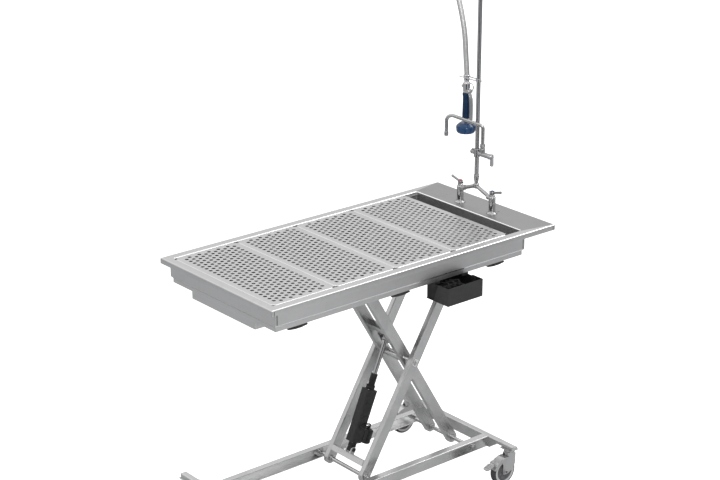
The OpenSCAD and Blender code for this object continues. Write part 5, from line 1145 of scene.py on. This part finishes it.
def build_hook():
    """Clamped collar and wire fork that carries the spray."""
    at = FAUCET_AT @ move(0, 0, 574.5)
    shape = Shape()
    shape.lathe([(8.55, -7), (11, -7), (11, 7), (8.55, 7)], at, count=40, edge=[0.2, 1.0, 1.0, 0.2], steps=3,
                closed=True)
    line = fillet([(-12.7, 104), (-12.7, 12), (12.7, 12), (12.7, 104)], [0, 5, 5, 0], 6, closed=False)
    shape.tube([(p.x, p.y, 0) for p in line], 2.5, 14, at, ends=0)
    for x in (-12.7, 12.7):
        shape.tube([(x, 100.8, 0), (x, 102, 0), (x, 104, 0), (x, 106, 0), (x, 107.4, 0)], [2.4, 3.2, 3.5, 2.9, 0.8],
                   16, at, ends=0)
    shape.bar(at, "y", 3, -17, -10, 0.5)
    shape.nut(at, "y", 7, -16.9, -14, 0.4)
    piece("hose_hook", shape, "Chrome", "platform")


# ---------------------------------------------------------------- hose and spray

LOOP_R, LOOP_FOOT, LOOP_DOWN, RISER_TOP = 85.0, 55.0, 27.0, 1000.0
SPRAY_Y, VALVE_TOP = 74.0, 570.0
HOSE_ROUTE = [(170, 1010), (155, 958), (132, 900), (112, 840), (97, 785), (88, 730), (82, 665), (77, 620),
              (74, 590)]


def loop_turn(u):
    """How far the loop has turned at a length u."""
    return min(max((u - LOOP_FOOT) / LOOP_R, 0), math.pi)


def loop_point(u):
    """Middle line of the hose loop at a length u from the top of the riser."""
    a = loop_turn(u)
    rise, drop = min(u, LOOP_FOOT), max(u - LOOP_FOOT - LOOP_R * math.pi, 0)
    return Vector((0, LOOP_R * (1 - math.cos(a)), RISER_TOP + rise + LOOP_R * math.sin(a) - drop))


def loop_normal(u):
    """Outward direction of the loop at a length u."""
    a = loop_turn(u)
    return Vector((0, -math.cos(a), math.sin(a)))


def between(a, b, c, d, t):
    """A point of the smooth line from b to c, with its neighbours a and d."""
    return (2 * b + (c - a) * t + (2 * a - 5 * b + 4 * c - d) * t * t + (3 * b - a - 3 * c + d) * t ** 3) / 2


def smooth_line(points, cuts):
    """A smooth line through the points."""
    line = [Vector(p) for p in points]
    made = []
    for i in range(len(line) - 1):
        corners = line[max(i - 1, 0)], line[i], line[i + 1], line[min(i + 2, len(line) - 1)]
        made += [between(*corners, s / cuts) for s in range(cuts)]
    return made + [line[-1]]


def hose_line():
    """Points along the whole hose, as in the frame's own hose."""
    top = RISER_TOP + LOOP_FOOT
    start, end = Vector((2 * LOOP_R, top)), Vector((SPRAY_Y, VALVE_TOP + 7))
    down = Vector((0, LOOP_DOWN))
    route = [start + down, start] + [Vector(p) for p in HOSE_ROUTE] + [end, end - down]
    points = [loop_point(LOOP_FOOT * k / 5) for k in range(5)]
    points += [loop_point(LOOP_FOOT + LOOP_R * math.pi * k / 32) for k in range(33)]
    for i in range(1, len(route) - 2):
        places = [between(*route[i - 1:i + 3], s / 6) for s in range(1, 7)]
        points += [Vector((0, p.x, p.y)) for p in places]
    return points


def build_hose():
    """Spray hose with its ferrules: a free hose that hangs from the top of the riser to the spray."""
    points = hose_line()
    shape = Shape()
    shape.tube(points, 11.3, 24, FAUCET_AT, ends=0)
    hose = piece("spray_hose_tube", shape, "Hose steel", "platform", "spray_hose", weighted=False)
    ends = Shape()
    foot = FAUCET_AT @ move(0, SPRAY_Y, VALVE_TOP)
    ends.lathe([(0, 0), (9.9, 0), (9.9, 7), (14.5, 7.4), (14.5, 12.6), (13, 13), (9.3, 17.5), (9.0, 17.5),
                (0, 17.5)], foot, count=40, edge=[0, 0.4, 0.6, 0.8, 0.8, 0.6, 0.3, 0, 0], steps=3)
    cap = FAUCET_AT @ move(0, 2 * LOOP_R, RISER_TOP + LOOP_FOOT - LOOP_DOWN - 7)
    ends.lathe([(9.05, 0), (16.2, 0), (17, 1.2), (17, 7), (9.05, 7)], cap, count=40, edge=[0.2, 0.8, 0.5, 0.8, 0.2],
               steps=3, closed=True)
    ferrules = piece("hose_ferrules", ends, "Chrome", "platform")
    return hose, ferrules, points


def build_spring():
    """Overhead spring wound round the loop of the hose, its ends standing on their seats."""
    wire, turns, per = 3.0, 44, 20
    coil = 16.0 - wire / 2
    u0, u1 = 2 * wire, LOOP_FOOT + LOOP_R * math.pi + LOOP_DOWN - 2 * wire
    line = []
    start = loop_point(u0) + coil * loop_normal(u0)
    end = loop_point(u1) + coil * loop_normal(u1)
    line.append(start + Vector((-wire, 0, -2 * wire)))
    for k in range(4):
        a = math.pi / 2 * k / 4
        line.append(start + Vector((-wire * math.cos(a), 0, wire * (math.sin(a) - 1))))
    for i in range(turns * per + 1):
        u = u0 + (u1 - u0) * i / (turns * per)
        a = TURN * i / per
        line.append(loop_point(u) + coil * (Vector((math.sin(a), 0, 0)) + math.cos(a) * loop_normal(u)))
    for k in range(1, 5):
        a = math.pi / 2 * k / 4
        line.append(end + Vector((wire * math.sin(a), 0, wire * (math.cos(a) - 1))))
    line.append(end + Vector((wire, 0, -2 * wire)))
    shape = Shape()
    shape.tube(line, wire / 2, 12, FAUCET_AT, ends=0)
    piece("overhead_spring", shape, "Chrome", "platform", weighted=False)


def build_spray():
    """Spray valve with its keeper ring, grip, squeeze lever and bumper with the spray face."""
    at = FAUCET_AT @ move(0, SPRAY_Y, 0)
    shape = Shape()
    shape.lathe([(0, 570), (12, 570), (12, 562), (10, 556), (15.5, 547), (15.5, 514), (13, 505), (0, 505)], at,
                count=48, edge=[0, 0.6, 1.5, 3, 2.5, 2, 0.5, 0], steps=4)
    knob = at @ move(0, 0, 533)
    shape.lathe([(0, 8), (9, 8), (9, 22), (7.8, 24), (6.5, 24), (6.5, 26.4), (0, 26.4)], turned(knob, "y"),
                count=36, edge=[0, 0.3, 1.2, 0.8, 0.3, 0.8, 0], steps=3)
    for k in range(14):
        shape.box(8.6, 9.4, -0.7, 0.7, 12, 20, 0.25, turned(knob, "y") @ Matrix.Rotation(TURN * k / 14, 4, "Z"))
    loops = []
    for k in range(48):
        a = TURN * k / 48
        middle, out = Vector((0, *polar(15.5, a, (-27, 535.5)))), Vector((0, math.cos(a), math.sin(a)))
        across = [TURN * j / 14 for j in range(14)]
        loops.append([middle + 2.2 * (out * math.cos(b) + Vector((1, 0, 0)) * math.sin(b)) for b in across])
    shape.rings(loops, at, cyclic=True)
    hinge = at @ move(0, -21, 514)
    for x in (-12.1, 8.6):
        shape.slab(fillet([(-5, -7), (17, -7), (17, 7), (-5, 7)], [5, 1, 1, 5], 5), x, x + 3.5, 0.6, "yz", hinge)
    shape.bar(hinge, "x", 2.5, -12.4, 12.4, 0.4, count=20)
    valve = piece("spray_valve", shape, "Chrome", "platform")

    grip = Shape()
    grip.lathe([(0, 505), (15.5, 505), (17.2, 503), (17.6, 499), (17.2, 494), (15.8, 489), (15.6, 470), (16.2, 440),
                (16.9, 408), (16.8, 394), (13.6, 388), (0, 388)],
               at, count=48, edge=[0, 0.8, 1.2, 1.5, 2, 3, 25, 30, 20, 4, 2, 0], steps=5)
    grip.bar(at, "z", 8, 372, 388.5, 0.4, 1)
    piece("spray_grip", grip, ["Blue grip", "Chrome"], "platform")

    trigger = Shape()
    swing = hinge @ rotate(-1.5, "X")
    trigger.sleeve(swing, "x", 2.55, 5, -8, 8, 0.4, 28)
    rise = [(0, -3.6), (0, -8), (-3, -18), (-6.5, -34), (-8, -60), (-8, -90), (-7, -116), (-6.4, -121),
            (-5.9, -124.5), (-6.6, -127.6), (-8, -128.6)]
    halves = [7.6, 7.6, 9, 10.5, 10.5, 10.2, 10.5, 10.5, 10.5, 10.2, 9]
    rings = []
    for (y, z), half in zip(rise, halves):
        profile = rounded_box_outline(-half, half, -1.5, 1.5, 1.1, 3)
        rings.append([(p.x, y + p.y + 0.35 * (1 - (p.x / half) ** 2), z) for p in profile])
    trigger.rings(rings, swing)
    piece("spray_trigger", trigger, "Satin chrome", "spray_trigger")

    bumper = Shape()
    bumper.lathe([(0, 372), (12, 372), (26, 371), (41, 358), (43.0, 351), (41.5, 334), (37, 326.5), (25.2, 326),
                  (24, 327.2), (24, 331), (0, 331)],
                 at, count=72, edge=[0, 3, 7, 7, 7, 7, 3, 1, 1, 0.3, 0], steps=6)
    holes = [circle((0, 0), 1.2, 10)]
    for r, n in ((7.5, 6), (14, 12), (20, 18)):
        for a in [TURN * k / n for k in range(n)]:
            holes.append(circle((r * math.cos(a), r * math.sin(a)), 1.2, 10))
    bumper.sheet(circle((0, 0), 23.6, 48), holes, 329.4, 331, [0.4, 0.1], "xy", at, 1)
    piece("spray_bumper", bumper, ["Blue rubber", "Satin chrome"], "platform")
    return valve


# ---------------------------------------------------------------- control box and actuator

BOX_AT = move(96.5, -430.0, 982.597)
ACTUATOR_AT = move(-63.881, 0, 228.874) @ rotate(-67.102, "Y")


def build_control_box():
    """Folded control box with its supply, the supply's leads and a connector."""
    dress("control_box", "Black coat", 0.9)
    dress("power_supply", "Dull black", 1.0)
    shape = Shape()
    supply = BOX_AT @ move(15, 15, 3)
    for i in range(3):
        plug = supply @ move(118 * (i + 1) / 4, 32, 62)
        shape.lathe([(0, -0.4), (7.6, -0.4), (7.6, 2.2), (5.6, 3), (5.2, 7), (0, 7)], plug, 0, count=28, edge=0.5)
        lead = [(0, 0, 6), (0, 0, 10), (0, 4, 13), (0, 12, 12.5), (2 - 4 * i, 30, 6), (4 - 8 * i, 48, 4)]
        shape.tube(smooth_line([plug @ Vector(p) for p in lead], 5), 2.6, 10)
    shape.box(124, 126.5, 58, 76, 12, 40, 0.6, BOX_AT)
    for y in (62, 72):
        shape.bar(BOX_AT @ move(126.5, y, 26), "x", 2.4, 0, 5, 0.5, 1, 16)
    piece("box_leads", shape, ["Dull black", "Zinc plate"], "platform")


def build_actuator():
    """Linear actuator: ribbed housing, gear motor with its cable, and the rod."""
    dress("actuator_housing", "Black plastic", 1.0)
    dress("actuator_rod", "Satin chrome", 0.5)
    at, motor_at = ACTUATOR_AT, turned(ACTUATOR_AT @ move(0, 0, -66), "x")
    shape = Shape()
    outside = rounded_box_outline(-22.4, 22.4, -28.4, 28.4, 5, 4)
    inside = rounded_box_outline(-21.6, 21.6, -27.6, 27.6, 4.2, 4)
    for x in (41, 267):
        corners = ((x - 1.5, outside), (x + 1.5, outside), (x + 1.5, inside), (x - 1.5, inside))
        shape.rings([[(place, p.x, p.y) for p in outline] for place, outline in corners], at, cyclic=True)
        for y in (-16, 16):
            for z in (-22, 22):
                head = turned(at @ move(34.2 if x < 100 else 273.8, y, z), "x")
                flip = rotate(180, "X") if x < 100 else Matrix.Identity(4)
                shape.lathe([(0, -0.3), (3.2, -0.3), (3.2, 1.4), (1.6, 1.6), (1.4, 0.4), (0, 0.4)], head @ flip, 1,
                            count=20, edge=0.2)
    shape.lathe([(15.05, 286), (19.3, 286), (19.6, 288), (19.6, 291), (17.5, 293), (15.05, 293)], turned(at, "x"),
                0, count=40, edge=0.4, closed=True)
    motor = Shape()
    motor.lathe([(0, 33), (18, 33), (18, 36), (24, 36), (24, 50), (22.8, 51), (22.8, 54), (24, 55), (24, 95),
                 (15, 99), (15, 101), (0, 101)],
                motor_at, count=56, edge=[0, 1, 0.5, 2.5, 0.4, 0.4, 0.4, 0.4, 3, 1, 1, 0], steps=4)
    motor.slab(rounded_box_outline(38, 97, -19, 19, 4, 4), -67, -27.9, 1.0, "xy", at)
    motor.slab(rounded_box_outline(41, 94, -21.5, 21.5, 3, 4), -38, -30, 1.5, "xy", at)
    for k in range(5):
        motor.box(62 + 6.5 * k, 65 + 6.5 * k, -24.5, 24.5, -72, -60, 0.8, at)
    piece("actuator_motor", motor, "Black plastic", "actuator")
    outer_cable = [(97, -8, -60), (108, -12, -59), (120, -18, -52), (125, -23.5, -41), (125, -25.8, -28),
                   (122, -26.0, -14), (116, -25.6, -2), (110, -24.8, 7)]
    inner_cable = [(97, -14, -52), (105, -18, -50), (111, -22, -43), (114, -25, -33), (113, -26.0, -22),
                   (110, -25.8, -10), (105, -24.8, 0)]
    for cable in (outer_cable, inner_cable):
        shape.tube(smooth_line(cable, 6), 3.5, 14, at)
    for x, z in ((109, 10), (104, 2)):
        shape.bar(at @ move(x, 0, z), "-y", 5, 21.6, 27.0, 1.0, count=24)
    shape.lathe([(0, 99), (7, 99), (7, 107), (4.4, 113), (0, 113)], motor_at, count=28, edge=[0, 0.6, 1, 0.6, 0],
                steps=3)
    piece("actuator_trim", shape, ["Dull black", "Zinc plate"], "actuator")


# ---------------------------------------------------------------- stage

def camera_way(heading, tilt):
    """Direction of the view."""
    return Vector((math.sin(heading) * math.cos(tilt), math.cos(heading) * math.cos(tilt), -math.sin(tilt)))


def glow(tree, colour, strength, kind="ShaderNodeBackground"):
    """A shader that gives light."""
    return node(tree, kind, {"Color": colour, "Strength": strength}).outputs[0]


def pick(tree, amount, first, second):
    """One of two shaders, by the amount."""
    return node(tree, "ShaderNodeMixShader", {0: amount, 1: first, 2: second}).outputs[0]


def build_world(level):
    """White to the camera, an even room for the light, and a graded one for what mirrors it."""
    world = bpy.data.worlds.new("Studio")
    world.use_nodes = True
    tree = world.node_tree
    tree.nodes.clear()
    rays = node(tree, "ShaderNodeLightPath").outputs
    where = node(tree, "ShaderNodeTexCoord").outputs["Generated"]
    height = node(tree, "ShaderNodeSeparateXYZ", {0: where}).outputs["Z"]
    ramp = node(tree, "ShaderNodeValToRGB", {0: height})
    stops = ramp.color_ramp.elements
    stops[0].color, stops[1].color = (0.38, 0.38, 0.38, 1), (0.72, 0.72, 0.72, 1)
    for place, value in ((0.18, 0.44), (0.42, 0.54), (0.62, 0.70)):
        stops.new(place).color = (value, value, value, 1)
    mirrors = reckon(tree, "MAXIMUM", rays["Is Glossy Ray"], rays["Is Transmission Ray"])
    room = pick(tree, mirrors, glow(tree, (0.97, 0.98, 1.0, 1), level), glow(tree, ramp.outputs[0], 1.65))
    seen = pick(tree, rays["Is Camera Ray"], room, glow(tree, (1, 1, 1, 1), 1.0))
    node(tree, "ShaderNodeOutputWorld", {"Surface": seen})
    bpy.context.scene.world = world


def floor_finish(colour):
    """Pale floor that looks white to the camera but keeps the shadow of the table."""
    finish, tree, surface, where = new_finish("Pale floor", {"Roughness": 0.9, "Specular IOR Level": 0.0})
    tint = blend_colour(tree, noise(tree, where, 3.0, 3.0), shade(colour, 0.99), shade(colour, 1.01))
    feed(tree, surface, {"Base Color": tint})
    light = glow(tree, (1, 1, 1, 1), 1.0, "ShaderNodeEmission")
    both = node(tree, "ShaderNodeAddShader", {0: surface.outputs[0], 1: light}).outputs[0]
    is_seen = node(tree, "ShaderNodeLightPath").outputs["Is Camera Ray"]
    feed(tree, tree.nodes["Material Output"], {"Surface": pick(tree, is_seen, surface.outputs[0], both)})
    return finish


def stand(name, data, place=(0, 0, 0), turned_to=(0, 0, 0)):
    """Puts a camera, a lamp or a mesh in the scene."""
    made = bpy.data.objects.new(name, data)
    made.location, made.rotation_euler = place, turned_to
    bpy.context.scene.collection.objects.link(made)
    return made


def flat_sheet(name, corners, material, place=(0, 0, 0), heading=0):
    """A rectangle of the stage, which is no part of the table."""
    mesh = bpy.data.meshes.new(name)
    mesh.from_pydata(corners, [], [(0, 1, 2, 3)])
    mesh.materials.append(material)
    made = stand(name, mesh, place, (0, 0, -heading))
    return made


def soft_light(name, place, size, power):
    """A large lamp that looks at the table's middle."""
    lamp = bpy.data.lights.new(name, "AREA")
    lamp.shape, lamp.size, lamp.size_y, lamp.energy = "RECTANGLE", size[0], size[1], power
    stand(name, lamp, place, (Vector((0, 0, 0.8)) - Vector(place)).to_track_quat("-Z", "Y").to_euler())


# Dark cards that chrome mirrors as upright bands: heading, distance, width and height
CARDS = ((math.radians(-126), 2.6, 1.5, 3.4), (math.radians(158), 2.4, 0.5, 3.4), (math.radians(97), 2.4, 1.2, 3.4))


def build_stage(settings):
    """Camera, room, floor, cards and lights."""
    scene = bpy.context.scene
    scene.view_settings.view_transform = "Standard"
    lens = bpy.data.cameras.new("Camera")
    lens.sensor_width, lens.lens, lens.clip_end = 36.0, settings.lens, 100
    way = camera_way(settings.heading, settings.tilt)
    scene.camera = stand("Camera", lens, settings.place, way.to_track_quat("-Z", "Y").to_euler())
    build_world(settings.sky)
    flat_sheet("floor", [(-40, -40, 0), (40, -40, 0), (40, 40, 0), (-40, 40, 0)], floor_finish(settings.floor))
    card = new_finish("Dark card", {"Base Color": (0.02, 0.02, 0.02, 1), "Roughness": 1.0})[0]
    for number, (angle, far, wide, high) in enumerate(CARDS):
        corners = [(-wide / 2, 0, 0.02), (wide / 2, 0, 0.02), (wide / 2, 0, high), (-wide / 2, 0, high)]
        place = (FAUCET.x * MM + far * math.sin(angle), FAUCET.y * MM + far * math.cos(angle), 0)
        panel = flat_sheet(f"dark_card_{number}", corners, card, place, angle)
        panel.visible_camera = panel.visible_diffuse = panel.visible_shadow = False
    soft_light("Key light", (-2.4, -3.2, 3.6), (2.6, 2.0), settings.key)
    soft_light("Fill light", (2.9, -1.1, 4.0), (1.6, 1.6), settings.fill)


# ---------------------------------------------------------------- operators

class EXAM_OT_stage(bpy.types.Operator):
    """Set up the camera, the pale floor and the soft studio light"""

    bl_idname = "exam.stage"
    bl_label = "Stage and camera"

    def execute(self, context):
        build_stage(context.scene.exam_stage)
        return {"FINISHED"}


class EXAM_OT_hose(bpy.types.Operator):
    """Build the spray hose with its overhead spring and the spray that it carries"""

    bl_idname = "exam.hose"
    bl_label = "Hose, spring and spray"

    def execute(self, context):
        hose, ferrules, points = build_hose()
        valve = build_spray()
        build_spring()
        return {"FINISHED"}


class EXAM_OT_tub(bpy.types.Operator):
    """Build the folded top with its tub, and the skirt under the rim"""

    bl_idname = "exam.tub"
    bl_label = "Tub and skirt"

    def execute(self, context):
        build_tub(context.scene.exam_sheet)
        build_skirt()
        return {"FINISHED"}


class EXAM_OT_trays(bpy.types.Operator):
    """Build the four perforated trays"""

    bl_idname = "exam.trays"
    bl_label = "Perforated trays"

    def execute(self, context):
        for number in range(1, 5):
            build_tray(number, context.scene.exam_sheet)
        return {"FINISHED"}


class EXAM_OT_under_frame(bpy.types.Operator):
    """Finish the support frame, channels and cleats under the top"""

    bl_idname = "exam.under_frame"
    bl_label = "Frame under the top"

    def execute(self, context):
        build_table_frame()
        return {"FINISHED"}


class EXAM_OT_lift(bpy.types.Operator):
    """Build the scissor legs and finish their axles, rollers and cross pieces"""

    bl_idname = "exam.lift"
    bl_label = "Scissor lift"

    def execute(self, context):
        build_legs()
        build_lift_parts()
        return {"FINISHED"}


class EXAM_OT_base(bpy.types.Operator):
    """Build the rails and the cross members of the base"""

    bl_idname = "exam.base"
    bl_label = "Base"

    def execute(self, context):
        build_base()
        return {"FINISHED"}


class EXAM_OT_casters(bpy.types.Operator):
    """Build the four casters with their forks, wheels and brake pedals"""

    bl_idname = "exam.casters"
    bl_label = "Casters"

    def execute(self, context):
        build_casters()
        return {"FINISHED"}


class EXAM_OT_control(bpy.types.Operator):
    """Build the control box and the linear actuator"""

    bl_idname = "exam.control"
    bl_label = "Control box and actuator"

    def execute(self, context):
        build_control_box()
        build_actuator()
        return {"FINISHED"}


class EXAM_OT_faucet(bpy.types.Operator):
    """Build the valves with their levers, the riser, the swinging nozzle and the hook"""

    bl_idname = "exam.faucet"
    bl_label = "Faucet"

    def execute(self, context):
        build_valves()
        build_yoke()
        build_nozzle()
        build_hook()
        return {"FINISHED"}


STEPS = ("stage", "hose", "tub", "trays", "under_frame", "lift", "base", "casters", "control", "faucet")


class EXAM_PT_panel(bpy.types.Panel):
    """Sidebar panel with the steps and sizes of the exam table"""

    bl_idname = "EXAM_PT_panel"
    bl_label = "Exam table"
    bl_space_type = "VIEW_3D"
    bl_region_type = "UI"
    bl_category = "Exam table"

    def draw(self, context):
        layout = self.layout
        for step in STEPS:
            layout.operator(f"exam.{step}")
        for group in (context.scene.exam_sheet, context.scene.exam_finishes, context.scene.exam_stage):
            box = layout.box()
            for name in group.__annotations__:
                box.prop(group, name)


CLASSES = (
    ExamFinishes, ExamSheet, ExamStage,
    EXAM_OT_stage, EXAM_OT_hose, EXAM_OT_tub, EXAM_OT_trays, EXAM_OT_under_frame, EXAM_OT_lift, EXAM_OT_base,
    EXAM_OT_casters, EXAM_OT_control, EXAM_OT_faucet, EXAM_PT_panel,
)


def register():
    for cls in CLASSES:
        bpy.utils.register_class(cls)
    bpy.types.Scene.exam_finishes = PointerProperty(type=ExamFinishes)
    bpy.types.Scene.exam_sheet = PointerProperty(type=ExamSheet)
    bpy.types.Scene.exam_stage = PointerProperty(type=ExamStage)


def unregister():
    for name in ("exam_finishes", "exam_sheet", "exam_stage"):
        delattr(bpy.types.Scene, name)
    for cls in reversed(CLASSES):
        bpy.utils.unregister_class(cls)


def main():
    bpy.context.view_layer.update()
    register()
    for step in STEPS:
        getattr(bpy.ops.exam, step)()


if __name__ == "__main__":
    main()
